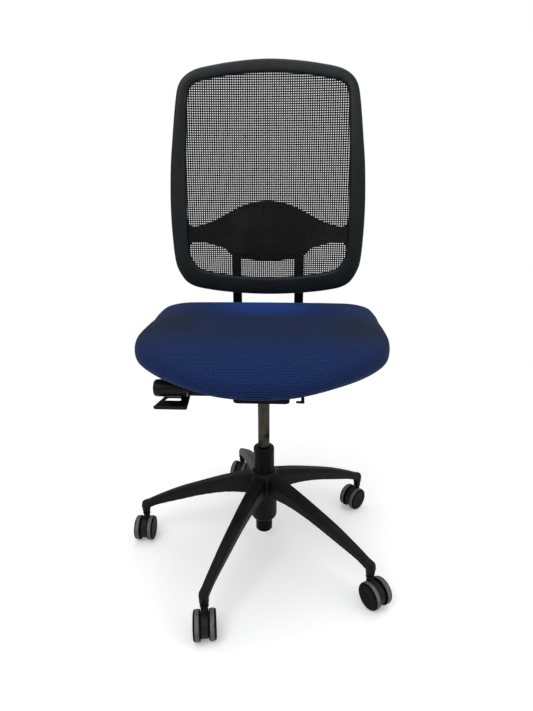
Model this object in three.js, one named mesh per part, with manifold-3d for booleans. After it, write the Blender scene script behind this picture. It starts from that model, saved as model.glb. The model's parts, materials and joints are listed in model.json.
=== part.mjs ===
// Swivel office chair: five-star base on twin-wheel casters, gas spring, synchro mechanism,
// upholstered seat and height-adjustable mesh back. Millimetres, +Z up, the sitter faces -Y.
//
// The parts are laid out about the swivel axis (x = y = 0), with heights from a datum FLOOR mm
// below the floor. The swivelAxis group shifts the whole chair so that the origin is the middle
// of its footprint on the floor.
// The sitter's left is +X, so the height lever and the tension knob are on the sitter's right, -X.

import * as THREE from "three";
import { mergeVertices } from "three/addons/utils/BufferGeometryUtils.js";
import Module from "manifold-3d";

const wasm = await Module();
wasm.setup();

// ---------------------------------------------------------------- driving dimensions

// Middle of the footprint, from the swivel axis.
const FOOTPRINT_CENTRE = { x: -22.08, y: -13.595 };
const FLOOR = 6; // height of the floor above the datum
const GAP = 0.3; // clearance between parts that touch
const ROUND = 24; // sides of a large turned part
const SMALL_ROUND = 12; // sides of a pin or shaft

const CASTER_CIRCLE = 305.9; // radius on which the caster stems stand
const FIRST_ARM_ANGLE = 33.6; // degrees from +X
const ARM_STEP = 72;

// The casters in order round the base, with the way each one happens to point at rest.
const CASTERS = [
  { place: "rear_left", heading: -43 },
  { place: "rear", heading: -16.5 },
  { place: "right", heading: 0 },
  { place: "front_right", heading: 9 },
  { place: "front_left", heading: 34 },
];

const WHEEL = { radius: 30, sides: 20, inner: 8.3, outer: 23.5, trail: 19, axle: 4 };
const TREAD = { seat: 26.4, inner: 11, outer: 19.5 }; // the groove that the tread sits in
const AXLE_HEIGHT = FLOOR + WHEEL.radius;
const CASTER_BAND = { radius: 25, halfWidth: 7.8, bottom: 13 };
const STEM = { radius: 5.5, pin: 4, top: 90.5, collar: 69.5, bottom: 48 };

const SOCKET = { radius: 10.5, tip: 7.8, bottom: 69, shoulder: 82, top: 104 };
const HUB = { radius: 32, ring: 28.5, top: 212, skirt: 84, bottom: 75 };
const COLUMN = { radius: 25, cup: 20.5, wall: 1.8, top: 270.5, bottom: 42, shoulder: 94 };
const BUSHING = { bottom: 180, lip: 24.8, lipTop: 1.5, capRadius: 22, capTop: 4 };
const THRUST_BEARING = { inner: 6, outer: 15, bottom: 52.3, top: 56.8 };
const CLIP = { inner: 5.3, outer: 9, bottom: 45.6, top: 47.4 };
const CYLINDER = { radius: 14, bottom: 193, coneStart: 430, top: 470, coneTop: 13.2 };
const RELEASE_PIN = { radius: 3, bottom: 457.6, top: 477 };
const ROD = { radius: 5, bottom: 44, top: 218, collar: 11, collarBottom: 57.2, collarTop: 60 };

const HOUSING = { halfWidth: 61, front: -102, rear: 62, bottom: 429, top: 472, wall: 4 };
const SPINDLE_ARM = { radius: 17, outer: -162 };
const CONE_BOSS = { radius: 22, top: 464 };
const SEAT_PIVOT = { y: -88, z: 468, radius: 5, halfLength: 76 };
const BACK_PIVOT = { y: 30, z: 456, radius: 6, halfLength: 80, boss: 14 };
const SPRING = { radius: 10.5, wire: 1.5, halfLength: 50, turns: 6 };
const KNOB = { y: -62, z: 447, radius: 19.5, outer: -239, inner: -165, spindle: 6 };
const LEVER = { y: -33, z: 446, radius: 6, outer: -235, inner: -165, thickness: 5 };
const LEVER_SLOT = { outer: -219, inner: -182, front: -66, rear: -53 };
const LOCK = { y: -40, z: 456, radius: 5, inner: 74, outer: 92 };

const PAN = { bottom: 500, top: 508 };
const CARRIER_PLATE = { bottom: 492, top: PAN.bottom - GAP, inner: 57, outer: 100 };
const CARRIER_CHEEK = { inner: 68, outer: 74 };
const YOKE_PLATE = { halfWidth: 94, front: 112, rear: 160, bottom: 440, top: 452 };
const YOKE_CHEEK = { inner: 70, outer: 78 };

const BAR = { x: 81.5, width: 24, thickness: 7, foot: 452.5, rear: 242.5, top: 790, bend: 30 };
const CARRIER_HOUSING = { rear: 250.5, depth: 18, edge: 2 };
const BACK_SURFACE = { y: 212, lumbar: 790, curve: 0.00025, wrap: 18, halfWidth: 237 };
const FRAME = { front: 0.9, rear: 16 }; // depths behind the mesh
const BEZEL = { front: -9, rear: -0.9 };
const NETTING = { thickness: 1, inset: 9 };

const COLOURS = {
  nylon: 0x232325,
  shell: 0x2c2d30,
  blackSteel: 0x1b1b1c,
  steel: 0x8a8a88,
  cylinder: 0x39372f,
  tread: 0x5c5d60,
  fabric: 0x23304e,
  netting: 0x2a2a2b,
};

// ---------------------------------------------------------------- shape helpers

const radians = THREE.MathUtils.degToRad;

function material(colour, roughness, metalness = 0) {
  return new THREE.MeshStandardMaterial({ color: colour, roughness, metalness });
}

// A closed geometry as a solid that can be joined and cut.
function solid(geometry) {
  const bare = geometry.clone();
  bare.deleteAttribute("normal");
  bare.deleteAttribute("uv");
  const merged = mergeVertices(bare, 1e-3);
  const corners = merged.index.array;
  const triVerts = [];
  for (let i = 0; i < corners.length; i += 3) {
    const [a, b, c] = corners.slice(i, i + 3);
    if (a !== b && b !== c && c !== a) {
      triVerts.push(a, b, c);
    }
  }
  return new wasm.Manifold(new wasm.Mesh({
    numProp: 3,
    vertProperties: new Float32Array(merged.attributes.position.array),
    triVerts: new Uint32Array(triVerts),
  }));
}

function geometryOf(manifold) {
  const mesh = manifold.getMesh();
  const geometry = new THREE.BufferGeometry();
  geometry.setAttribute("position", new THREE.BufferAttribute(mesh.vertProperties, 3));
  geometry.setIndex(new THREE.BufferAttribute(mesh.triVerts, 1));
  return geometry;
}

function joined(...geometries) {
  return geometries.map(solid).reduce((whole, next) => whole.add(next));
}

function cut(body, ...tools) {
  return tools.map(solid).reduce((rest, tool) => rest.subtract(tool), body);
}

// A turned part about Z from (radius, height) points, walked with the material on the left.
function turned(points, sides = ROUND) {
  const profile = points.map(([radius, height]) => new THREE.Vector2(radius, height));
  const geometry = new THREE.LatheGeometry(profile, sides);
  geometry.rotateX(Math.PI / 2);
  return geometry;
}

// The same about X, with a flat side facing down.
function turnedAlongX(points, sides = SMALL_ROUND) {
  const geometry = turned(points, sides);
  geometry.rotateZ(Math.PI / sides);
  geometry.rotateY(Math.PI / 2);
  return geometry;
}

function rod(radius, from, to, sides = SMALL_ROUND) {
  return turned([[0, from], [radius, from], [radius, to], [0, to]], sides);
}

function rodAlongX(radius, from, to, y, z, sides = SMALL_ROUND) {
  const geometry = turnedAlongX([[0, from], [radius, from], [radius, to], [0, to]], sides);
  geometry.translate(0, y, z);
  return geometry;
}

function block(x0, x1, y0, y1, z0, z1) {
  const geometry = new THREE.BoxGeometry(x1 - x0, y1 - y0, z1 - z0);
  geometry.translate((x0 + x1) / 2, (y0 + y1) / 2, (z0 + z1) / 2);
  return geometry;
}

function shapeOf(points) {
  return new THREE.Shape(points.map(([a, b]) => new THREE.Vector2(a, b)));
}

// A plate whose outline lies in the X-Y plane.
function plateXY(shape, bottom, top, curveSegments = 4) {
  const options = { depth: top - bottom, bevelEnabled: false, curveSegments };
  const geometry = new THREE.ExtrudeGeometry(shape, options);
  geometry.translate(0, 0, bottom);
  return geometry;
}

// A plate whose outline lies in the Y-Z plane, between two X values.
function plateYZ(shape, from, to) {
  const options = { depth: to - from, bevelEnabled: false, curveSegments: 4 };
  const geometry = new THREE.ExtrudeGeometry(shape, options);
  geometry.rotateY(Math.PI / 2);
  geometry.rotateX(Math.PI / 2);
  geometry.translate(from, 0, 0);
  return geometry;
}

function roundedRectangle(halfWidth, front, rear, radius) {
  const shape = new THREE.Shape();
  shape.moveTo(halfWidth, front + radius);
  shape.lineTo(halfWidth, rear - radius);
  shape.absarc(halfWidth - radius, rear - radius, radius, 0, Math.PI / 2);
  shape.lineTo(-halfWidth + radius, rear);
  shape.absarc(-halfWidth + radius, rear - radius, radius, Math.PI / 2, Math.PI);
  shape.lineTo(-halfWidth, front + radius);
  shape.absarc(-halfWidth + radius, front + radius, radius, Math.PI, Math.PI * 1.5);
  shape.lineTo(halfWidth - radius, front);
  shape.absarc(halfWidth - radius, front + radius, radius, Math.PI * 1.5, Math.PI * 2);
  return shape;
}

// A strip of even thickness along a line of points.
function strip(points, thickness) {
  const line = points.map(([a, b]) => new THREE.Vector2(a, b));
  const left = [];
  const right = [];
  line.forEach((point, i) => {
    const before = line[Math.max(i - 1, 0)];
    const after = line[Math.min(i + 1, line.length - 1)];
    const into = point.clone().sub(before);
    const out = after.clone().sub(point);
    const along = (into.lengthSq() ? into.normalize() : out.clone().normalize())
      .add(out.lengthSq() ? out.normalize() : into.clone().normalize())
      .normalize();
    const half = thickness / 2 / Math.max(along.dot(out.lengthSq() ? out : into), 0.5);
    const side = new THREE.Vector2(-along.y, along.x).multiplyScalar(half);
    left.push(point.clone().add(side));
    right.push(point.clone().sub(side));
  });
  return new THREE.Shape([...right, ...left.reverse()]);
}

// A closed skin over sections of equal point count, each turning left about the way they go.
function loft(sections) {
  const count = sections[0].length;
  const positions = sections.flat().flatMap((point) => point.toArray());
  const index = [];
  for (let k = 0; k + 1 < sections.length; k += 1) {
    for (let i = 0; i < count; i += 1) {
      const j = (i + 1) % count;
      const near = k * count;
      const far = near + count;
      index.push(near + i, near + j, far + j, near + i, far + j, far + i);
    }
  }
  const end = (sections.length - 1) * count;
  for (let i = 1; i + 1 < count; i += 1) {
    index.push(0, i + 1, i, end, end + i, end + i + 1);
  }
  const geometry = new THREE.BufferGeometry();
  geometry.setAttribute("position", new THREE.Float32BufferAttribute(positions, 3));
  geometry.setIndex(index);
  return geometry;
}

// ---------------------------------------------------------------- assembly

const swivelAxis = new THREE.Group();
swivelAxis.position.set(-FOOTPRINT_CENTRE.x, -FOOTPRINT_CENTRE.y, -FLOOR);

function add(name, geometry, look, parent = swivelAxis) {
  const mesh = new THREE.Mesh(geometry, look);
  mesh.name = name;
  parent.add(mesh);
  return mesh;
}

// ---------------------------------------------------------------- star base and column

// Each station is a distance from the axis with the arm's heights, crown and full width there.
const ARM_STATIONS = [
  { r: 20, top: 207, bottom: 151, crown: 24, width: 36 },
  { r: 90, top: 189, bottom: 149, crown: 22, width: 33 },
  { r: 150, top: 170, bottom: 137, crown: 19, width: 29 },
  { r: 215, top: 147, bottom: 117, crown: 16, width: 25 },
  { r: 275, top: 120, bottom: 97, crown: 12, width: 21 },
  { r: 302, top: 106, bottom: 84, crown: 10, width: 20 },
];

function arm(angle) {
  const sections = ARM_STATIONS.map(({ r, top, bottom, crown, width }) => {
    const shoulder = top - 0.3 * (top - bottom);
    const outline = [
      [-0.42 * width, bottom],
      [0.42 * width, bottom],
      [0.5 * width, shoulder],
      [0.5 * crown, top],
      [-0.5 * crown, top],
      [-0.5 * width, shoulder],
    ];
    return outline.map(([side, z]) => new THREE.Vector3(r, side, z));
  });
  const geometry = loft(sections);
  geometry.rotateZ(radians(angle));
  return geometry;
}

function socketPart(points, angle) {
  const geometry = turned(points, SMALL_ROUND);
  geometry.translate(CASTER_CIRCLE, 0, 0);
  geometry.rotateZ(radians(angle));
  return geometry;
}

function starBase() {
  const hub = turned([
    [COLUMN.cup + 1.2, HUB.bottom],
    [24.4, HUB.bottom],
    [HUB.radius, HUB.skirt],
    [HUB.radius, HUB.top - 7],
    [HUB.ring, HUB.top],
    [COLUMN.radius + GAP, HUB.top],
    [COLUMN.radius + GAP, COLUMN.shoulder - 0.5],
    [COLUMN.cup + 1.2, COLUMN.shoulder - 7],
    [COLUMN.cup + 1.2, HUB.bottom],
  ]);
  const boss = [
    [0, SOCKET.bottom],
    [SOCKET.tip, SOCKET.bottom],
    [SOCKET.radius, SOCKET.shoulder],
    [SOCKET.radius, SOCKET.top - 6],
    [SOCKET.tip, SOCKET.top],
    [0, SOCKET.top],
  ];
  const bore = [
    [0, SOCKET.bottom - 9],
    [STEM.radius + GAP, SOCKET.bottom - 9],
    [STEM.radius + GAP, STEM.top + 0.5],
    [0, STEM.top + 0.5],
  ];
  const angles = CASTERS.map((_, k) => FIRST_ARM_ANGLE + k * ARM_STEP);
  const body = joined(hub, ...angles.map(arm), ...angles.map((angle) => socketPart(boss, angle)));
  const columnBore = rod(COLUMN.radius + GAP, COLUMN.shoulder - 0.5, HUB.top + 10, ROUND);
  return geometryOf(cut(body, columnBore, ...angles.map((angle) => socketPart(bore, angle))));
}

add("star_base", starBase(), material(COLOURS.nylon, 0.55));

const tubeInside = COLUMN.radius - COLUMN.wall;
add("column_tube", turned([
  [6, 48],
  [17.5, 48],
  [17.5, COLUMN.bottom],
  [18.6, COLUMN.bottom],
  [COLUMN.cup, 44.5],
  [COLUMN.cup, COLUMN.shoulder - 8],
  [COLUMN.radius, COLUMN.shoulder],
  [COLUMN.radius, COLUMN.top],
  [tubeInside, COLUMN.top],
  [tubeInside, COLUMN.shoulder + 1],
  [18.5, 87],
  [18.5, 52],
  [6, 52],
  [6, 48],
]), material(COLOURS.blackSteel, 0.4, 0.3));

add("guide_bushing", turned([
  [CYLINDER.radius + 0.4, BUSHING.bottom],
  [tubeInside - GAP, BUSHING.bottom],
  [tubeInside - GAP, COLUMN.top + GAP],
  [BUSHING.lip, COLUMN.top + GAP],
  [BUSHING.lip - 0.4, COLUMN.top + BUSHING.lipTop],
  [BUSHING.capRadius, COLUMN.top + BUSHING.capTop],
  [CYLINDER.radius + 0.4, COLUMN.top + BUSHING.capTop],
  [CYLINDER.radius + 0.4, BUSHING.bottom],
]), material(COLOURS.nylon, 0.5));

// A flat ring about the column's axis.
function ring({ inner, outer, bottom, top }) {
  return turned([[inner, bottom], [outer, bottom], [outer, top], [inner, top], [inner, bottom]], 16);
}

add("thrust_bearing", ring(THRUST_BEARING), material(COLOURS.steel, 0.35, 0.9));

add("gas_spring_rod", turned([
  [0, ROD.bottom],
  [ROD.radius, ROD.bottom],
  [ROD.radius, ROD.collarBottom],
  [ROD.collar, ROD.collarBottom],
  [ROD.collar, ROD.collarTop],
  [ROD.radius, ROD.collarTop],
  [ROD.radius, ROD.top],
  [0, ROD.top],
], SMALL_ROUND), material(COLOURS.steel, 0.2, 1));

add("retaining_clip", ring(CLIP), material(COLOURS.steel, 0.35, 0.9));

add("gas_cylinder", turned([
  [0, 336],
  [ROD.radius + 0.4, 336],
  [ROD.radius + 0.4, CYLINDER.bottom],
  [CYLINDER.radius - 0.8, CYLINDER.bottom],
  [CYLINDER.radius, CYLINDER.bottom + 2],
  [CYLINDER.radius, CYLINDER.coneStart],
  [CYLINDER.coneTop, CYLINDER.top - 3],
  [11, CYLINDER.top],
  [RELEASE_PIN.radius + GAP, CYLINDER.top],
  [RELEASE_PIN.radius + GAP, 452],
  [0, 452],
]), material(COLOURS.cylinder, 0.3, 0.85));

add("release_pin", rod(RELEASE_PIN.radius, RELEASE_PIN.bottom, RELEASE_PIN.top),
  material(COLOURS.steel, 0.3, 0.9));

// ---------------------------------------------------------------- casters

function casterHousing() {
  const { radius, halfWidth } = CASTER_BAND;
  const band = rodAlongX(radius, -halfWidth, halfWidth, -WHEEL.trail, AXLE_HEIGHT, WHEEL.sides);
  const neck = turned([
    [0, 40],
    [halfWidth, 40],
    [halfWidth, 66.3],
    [9.5, 67.3],
    [9.5, SOCKET.bottom - GAP],
    [0, SOCKET.bottom - GAP],
  ], SMALL_ROUND);
  const stemBore = rod(STEM.pin + GAP, STEM.bottom - 0.5, SOCKET.top);
  const axleBore = rodAlongX(WHEEL.axle + GAP, -20, 20, -WHEEL.trail, AXLE_HEIGHT);
  const underside = block(-20, 20, -60, 20, -10, CASTER_BAND.bottom);
  return geometryOf(cut(joined(band, neck), stemBore, axleBore, underside));
}

const stem = turned([
  [0, STEM.bottom],
  [STEM.pin, STEM.bottom],
  [STEM.pin, STEM.collar],
  [STEM.radius, STEM.collar],
  [STEM.radius, STEM.top],
  [0, STEM.top],
], SMALL_ROUND);

// The corners of a many-sided wheel stand out so that its flats touch the true circle.
const wheelCorner = WHEEL.radius / Math.cos(Math.PI / WHEEL.sides);
const rim = 28.8;

const wheelProfile = [
  [0, WHEEL.outer - 2.6],
  [WHEEL.axle + GAP, WHEEL.outer - 2.6],
  [WHEEL.axle + GAP, WHEEL.inner],
  [rim, WHEEL.inner],
  [rim, TREAD.inner - GAP],
  [TREAD.seat, TREAD.inner - GAP],
  [TREAD.seat, TREAD.outer + GAP],
  [rim, TREAD.outer + GAP],
  [rim, WHEEL.outer - 1.7],
  [27.4, WHEEL.outer],
  [0, WHEEL.outer],
];
const treadProfile = [
  [TREAD.seat + GAP, TREAD.inner],
  [wheelCorner, TREAD.inner],
  [wheelCorner, TREAD.outer],
  [TREAD.seat + GAP, TREAD.outer],
  [TREAD.seat + GAP, TREAD.inner],
];

CASTERS.forEach(({ place, heading }, k) => {
  const angle = radians(FIRST_ARM_ANGLE + k * ARM_STEP);
  const caster = new THREE.Group();
  caster.position.set(CASTER_CIRCLE * Math.cos(angle), CASTER_CIRCLE * Math.sin(angle), 0);
  caster.rotation.z = radians(heading);
  swivelAxis.add(caster);
  add(`caster_stem_${place}`, stem, material(COLOURS.steel, 0.3, 0.9), caster);
  add(`caster_housing_${place}`, casterHousing(), material(COLOURS.nylon, 0.5), caster);
  const axleEnd = WHEEL.outer - 3;
  const axle = rodAlongX(WHEEL.axle, -axleEnd, axleEnd, -WHEEL.trail, AXLE_HEIGHT);
  add(`caster_axle_${place}`, axle, material(COLOURS.steel, 0.3, 0.9), caster);
  for (const [side, turn] of [["a", Math.PI], ["b", 0]]) {
    const hub = new THREE.Group();
    hub.position.set(0, -WHEEL.trail, AXLE_HEIGHT);
    hub.rotation.z = turn;
    caster.add(hub);
    const disc = turnedAlongX(wheelProfile, WHEEL.sides);
    const tread = turnedAlongX(treadProfile, WHEEL.sides);
    add(`wheel_disc_${place}_${side}`, disc, material(COLOURS.nylon, 0.45), hub);
    add(`wheel_tread_${place}_${side}`, tread, material(COLOURS.tread, 0.7), hub);
  }
});

// ---------------------------------------------------------------- mechanism

function mechanismHousing() {
  const { halfWidth, front, rear, bottom, top, wall } = HOUSING;
  const outside = plateXY(roundedRectangle(halfWidth, front, rear, 10), bottom, top, 3);
  const inner = roundedRectangle(halfWidth - wall, front + wall, rear - wall, 6);
  const pocket = plateXY(inner, bottom + wall, top + 5, 3);
  const coneBoss = rod(CONE_BOSS.radius, bottom, CONE_BOSS.top, ROUND);
  const { radius, outer } = SPINDLE_ARM;
  const spindleArm = rodAlongX(radius, outer, -halfWidth + 1, KNOB.y, KNOB.z, 16);
  const cone = turned([
    [0, bottom - 5],
    [CYLINDER.radius + GAP, bottom - 5],
    [CYLINDER.coneTop + 0.5, top + 8],
    [0, top + 8],
  ]);
  const tray = cut(solid(outside), pocket).add(joined(coneBoss, spindleArm));
  return geometryOf(cut(
    tray,
    cone,
    rodAlongX(KNOB.spindle + 0.4, -200, 80, KNOB.y, KNOB.z),
    rodAlongX(LEVER.radius + 0.4, -80, -50, LEVER.y, LEVER.z),
    rodAlongX(LOCK.radius + 0.4, 50, 80, LOCK.y, LOCK.z),
    rodAlongX(BACK_PIVOT.radius + GAP, -100, 100, BACK_PIVOT.y, BACK_PIVOT.z),
    rodAlongX(SEAT_PIVOT.radius + GAP, -100, 100, SEAT_PIVOT.y, SEAT_PIVOT.z),
  ));
}

add("mechanism_housing", mechanismHousing(), material(COLOURS.blackSteel, 0.5, 0.4));

function pivotShaft({ radius, halfLength, y, z }) {
  return rodAlongX(radius, -halfLength, halfLength, y, z);
}
add("back_pivot_shaft", pivotShaft(BACK_PIVOT), material(COLOURS.steel, 0.3, 0.9));
add("seat_pivot_shaft", pivotShaft(SEAT_PIVOT), material(COLOURS.steel, 0.3, 0.9));

// Knob and spindle turn as one.
function tensionKnob() {
  const { y, z, radius, outer, inner, spindle } = KNOB;
  const grip = turnedAlongX([
    [0, outer],
    [radius - 4, outer],
    [radius - 0.8, outer + 3],
    [radius, outer + 8],
    [radius, inner],
    [0, inner],
  ], ROUND);
  grip.translate(0, y, z);
  return geometryOf(joined(grip, rodAlongX(spindle, inner - 1, 58, y, z)));
}
add("tension_knob", tensionKnob(), material(COLOURS.nylon, 0.5));

// Compression spring round the spindle, inside the housing.
class Helix extends THREE.Curve {
  constructor(radius, from, to, turns) {
    super();
    Object.assign(this, { radius, from, to, turns });
  }

  getPoint(t, target = new THREE.Vector3()) {
    const turn = t * this.turns * Math.PI * 2;
    return target.set(
      THREE.MathUtils.lerp(this.from, this.to, t),
      KNOB.y + this.radius * Math.cos(turn),
      KNOB.z + this.radius * Math.sin(turn),
    );
  }
}

const wire = shapeOf(Array.from({ length: 6 }, (_, i) => {
  const a = i * Math.PI / 3;
  return [SPRING.wire * Math.cos(a), SPRING.wire * Math.sin(a)];
}));
add("tension_spring", new THREE.ExtrudeGeometry(wire, {
  extrudePath: new Helix(SPRING.radius, -SPRING.halfLength, SPRING.halfLength, SPRING.turns),
  steps: 10 * SPRING.turns,
  bevelEnabled: false,
}), material(COLOURS.steel, 0.35, 0.9));

// Height lever: a drooping paddle with a finger slot, a shaft into the housing and a finger
// over the gas spring's release pin.
function heightLever() {
  const { y, z, radius, outer, inner, thickness } = LEVER;
  const droop = strip([[y, z], [-37, 433], [-48, 420.5], [-70, 417], [-94, 414.5]], thickness);
  const paddle = plateYZ(droop, outer, inner);
  const frontRoll = rodAlongX(thickness, outer, inner, -94, 414.5);
  const shaft = rodAlongX(radius, outer + 17, -26, y, z);
  const finger = plateYZ(strip([[y, z], [-24, 476], [-12, 480], [6, 480]], thickness), -32, -26);
  const toe = block(-32, 5, -5, 6, RELEASE_PIN.top + GAP, RELEASE_PIN.top + GAP + 5);
  const lever = joined(paddle, frontRoll, shaft, finger, toe);
  const slot = block(LEVER_SLOT.outer, LEVER_SLOT.inner, LEVER_SLOT.front, LEVER_SLOT.rear, 400, 432);
  const corner = shapeOf([[outer - 5, -86], [outer + 17, -40], [outer + 17, 0], [outer - 5, 0]]);
  const slant = plateXY(corner, 400, 470);
  return geometryOf(cut(lever, slot, slant));
}
add("height_lever", heightLever(), material(COLOURS.nylon, 0.5));

// Tilt lock lever on the sitter's left, with a small hooked blade.
function tiltLockLever() {
  const { y, z, radius, inner, outer } = LOCK;
  const blade = plateYZ(strip([[y, z], [-66, 450], [-92, 441], [-106, 437]], 5), inner, outer);
  return geometryOf(joined(blade, rodAlongX(radius, 30, outer, y, z)));
}
add("tilt_lock_lever", tiltLockLever(), material(COLOURS.nylon, 0.5));

// ---------------------------------------------------------------- seat

// Two rails and a front plate under the pan, with cheeks down to the front pivot.
function seatCarrier() {
  const { bottom, top, inner, outer } = CARRIER_PLATE;
  const plan = shapeOf([
    [-outer, -115], [outer, -115], [outer, 150], [inner, 150],
    [inner, -60], [-inner, -60], [-inner, 150], [-outer, 150],
  ]);
  const cheek = shapeOf([
    [-112, bottom + 2], [-98, 462], [-92, 458], [-84, 458], [-79, 463], [-68, bottom + 2],
  ]);
  const left = plateYZ(cheek, CARRIER_CHEEK.inner, CARRIER_CHEEK.outer);
  const right = plateYZ(cheek, -CARRIER_CHEEK.outer, -CARRIER_CHEEK.inner);
  const holes = rodAlongX(SEAT_PIVOT.radius + GAP, -100, 100, SEAT_PIVOT.y, SEAT_PIVOT.z);
  return geometryOf(cut(joined(plateXY(plan, bottom, top), left, right), holes));
}
add("seat_carrier", seatCarrier(), material(COLOURS.blackSteel, 0.5, 0.4));

// Half of the cushion's plan outline, from the middle of the front to the middle of the rear.
const SEAT_HALF_PLAN = [
  [0, -283], [88, -272], [158, -238], [212, -192], [252, -136], [268, -75],
  [272, 0], [270, 75], [262, 132], [238, 180], [150, 205], [0, 210],
];
const SEAT_CENTRE_Y = -40;
const SEAT_POINTS = 44;

function seatPlan() {
  const left = SEAT_HALF_PLAN.slice(1, -1).reverse().map(([x, y]) => [-x, y]);
  const knots = [...SEAT_HALF_PLAN, ...left].map(([x, y]) => new THREE.Vector3(x, y, 0));
  return new THREE.CatmullRomCurve3(knots, true).getPoints(SEAT_POINTS).slice(0, -1);
}

function seatTop(y) {
  const waterfall = Math.max(0, -90 - y);
  const rise = Math.max(0, y - 60);
  return 579 - 0.00095 * waterfall ** 2 + 0.0005 * rise ** 2;
}

// Lower edge of the cover: lowest at the middle of the front, higher round the corners.
function seatEdge(x, y) {
  const front = Math.exp(-((y + 283) ** 2) / 3200 - x ** 2 / 30000);
  return 524 - 16 * front;
}

function seatCushion() {
  const rings = [
    { scale: 0.8, z: () => PAN.top + GAP },
    { scale: 0.955, z: (x, y) => seatEdge(x, y) },
    { scale: 0.995, z: (x, y) => seatEdge(x, y) + 9 },
    { scale: 1, z: (x, y) => (seatEdge(x, y) + seatTop(y)) / 2 },
    { scale: 0.985, z: (x, y) => seatTop(y) - 10 },
    { scale: 0.95, z: (x, y) => seatTop(y) - 3 },
    { scale: 0.78, z: (x, y) => seatTop(y) },
    { scale: 0.35, z: (x, y) => seatTop(y) - 2 },
  ];
  const plan = seatPlan();
  return loft(rings.map(({ scale, z }) => plan.map(({ x, y }) => new THREE.Vector3(
    x * scale,
    SEAT_CENTRE_Y + (y - SEAT_CENTRE_Y) * scale,
    z(x, SEAT_CENTRE_Y + (y - SEAT_CENTRE_Y) * scale),
  ))));
}
add("seat_cushion", seatCushion(), material(COLOURS.fabric, 0.95));

const PAN_SCALE = 0.76;
const panPlan = seatPlan().map(({ x, y }) => [
  PAN_SCALE * x,
  SEAT_CENTRE_Y + PAN_SCALE * (y - SEAT_CENTRE_Y),
]);
add("seat_pan", plateXY(shapeOf(panPlan), PAN.bottom, PAN.top), material(COLOURS.nylon, 0.6));

// ---------------------------------------------------------------- back arms

// Yoke: two cheeks on the pivot shaft and a cross plate that carries the uprights.
function backYoke() {
  const bossPoints = Array.from({ length: 9 }, (_, i) => {
    const a = radians(100 + i * 20);
    return [BACK_PIVOT.y + BACK_PIVOT.boss * Math.cos(a), BACK_PIVOT.z + BACK_PIVOT.boss * Math.sin(a)];
  });
  const { halfWidth, front, rear, bottom, top } = YOKE_PLATE;
  const cheek = shapeOf([
    ...bossPoints, [front, bottom], [rear - 20, bottom], [rear - 20, top], [110, top], [104, 462],
  ]);
  const plate = block(-halfWidth, halfWidth, front, rear, bottom, top);
  const left = plateYZ(cheek, YOKE_CHEEK.inner, YOKE_CHEEK.outer);
  const right = plateYZ(cheek, -YOKE_CHEEK.outer, -YOKE_CHEEK.inner);
  const shaft = rodAlongX(BACK_PIVOT.radius + GAP, -100, 100, BACK_PIVOT.y, BACK_PIVOT.z);
  return geometryOf(cut(joined(plate, left, right), shaft));
}
add("back_yoke", backYoke(), material(COLOURS.blackSteel, 0.5, 0.4));

// Flat steel bars, bent up behind the seat.
const bendCentre = {
  y: BAR.rear - BAR.thickness / 2 - BAR.bend,
  z: BAR.foot + BAR.thickness / 2 + BAR.bend,
};
const bend = Array.from({ length: 7 }, (_, i) => {
  const a = radians(-90 + i * 15);
  return [bendCentre.y + BAR.bend * Math.cos(a), bendCentre.z + BAR.bend * Math.sin(a)];
});
const upright = strip([
  [116, BAR.foot + BAR.thickness / 2],
  ...bend,
  [BAR.rear - BAR.thickness / 2, BAR.top],
], BAR.thickness);

for (const [side, x] of [["right", -BAR.x], ["left", BAR.x]]) {
  const bar = plateYZ(upright, x - BAR.width / 2, x + BAR.width / 2);
  add(`back_upright_${side}`, bar, material(COLOURS.blackSteel, 0.45, 0.3));
}

// ---------------------------------------------------------------- backrest

// The middle of the netting: bulged forward at the lumbar height and wrapped round the sides.
function backSurface(x, z) {
  const { y, lumbar, curve, wrap, halfWidth } = BACK_SURFACE;
  return y + curve * (z - lumbar) ** 2 - wrap * (x / halfWidth) ** 2;
}

// A plate drawn in X-Z, between two depths behind the netting and bent to the back's surface.
function bentPlate(shape, front, rear) {
  const slab = new THREE.BoxGeometry(480, rear - front, 550, 12, 1, 11);
  slab.translate(0, (front + rear) / 2, 880);
  const place = slab.attributes.position;
  for (let i = 0; i < place.count; i += 1) {
    place.setY(i, place.getY(i) + backSurface(place.getX(i), place.getZ(i)));
  }
  const outline = new THREE.ExtrudeGeometry(shape, { depth: 200, bevelEnabled: false });
  outline.rotateX(Math.PI / 2);
  outline.translate(0, 320, 0);
  return geometryOf(solid(slab).intersect(solid(outline)));
}

// Half outlines on +X from the middle of the bottom up to the middle of the top.
const BACK_OUTLINE = [
  [0, 609], [50, 610], [100, 612.5], [150, 617], [188, 624], [208, 636], [222, 655], [230, 678], [234, 705],
  [236, 745], [237, 790], [236.5, 835], [234.5, 880], [231, 930], [226.5, 975], [222, 1020], [217.5, 1060],
  [212.5, 1087], [206, 1102], [195, 1114.5], [172, 1128], [122, 1140], [62, 1148.5], [0, 1152],
];
const UPPER_WINDOW = [
  [0, 836], [32, 833], [66, 823], [100, 806], [133, 789], [166, 778], [184, 775], [195, 780], [199, 794],
  [199, 838], [198, 880], [196.5, 930], [194.5, 975], [192.5, 1020], [190, 1060], [187, 1083], [181, 1094],
  [170, 1102], [148, 1108], [100, 1117], [50, 1122], [0, 1123.5],
];
const LOWER_WINDOW = [
  [0, 646], [68, 649], [95, 652], [149, 661], [176, 671], [189, 687], [197, 706], [198, 722], [189, 735],
  [168, 737], [135, 729], [112, 722], [80, 712], [0, 706],
];

function mirrored(half) {
  const left = half.slice(1, -1).reverse().map(([x, z]) => [-x, z]);
  return [...half, ...left];
}

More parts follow.
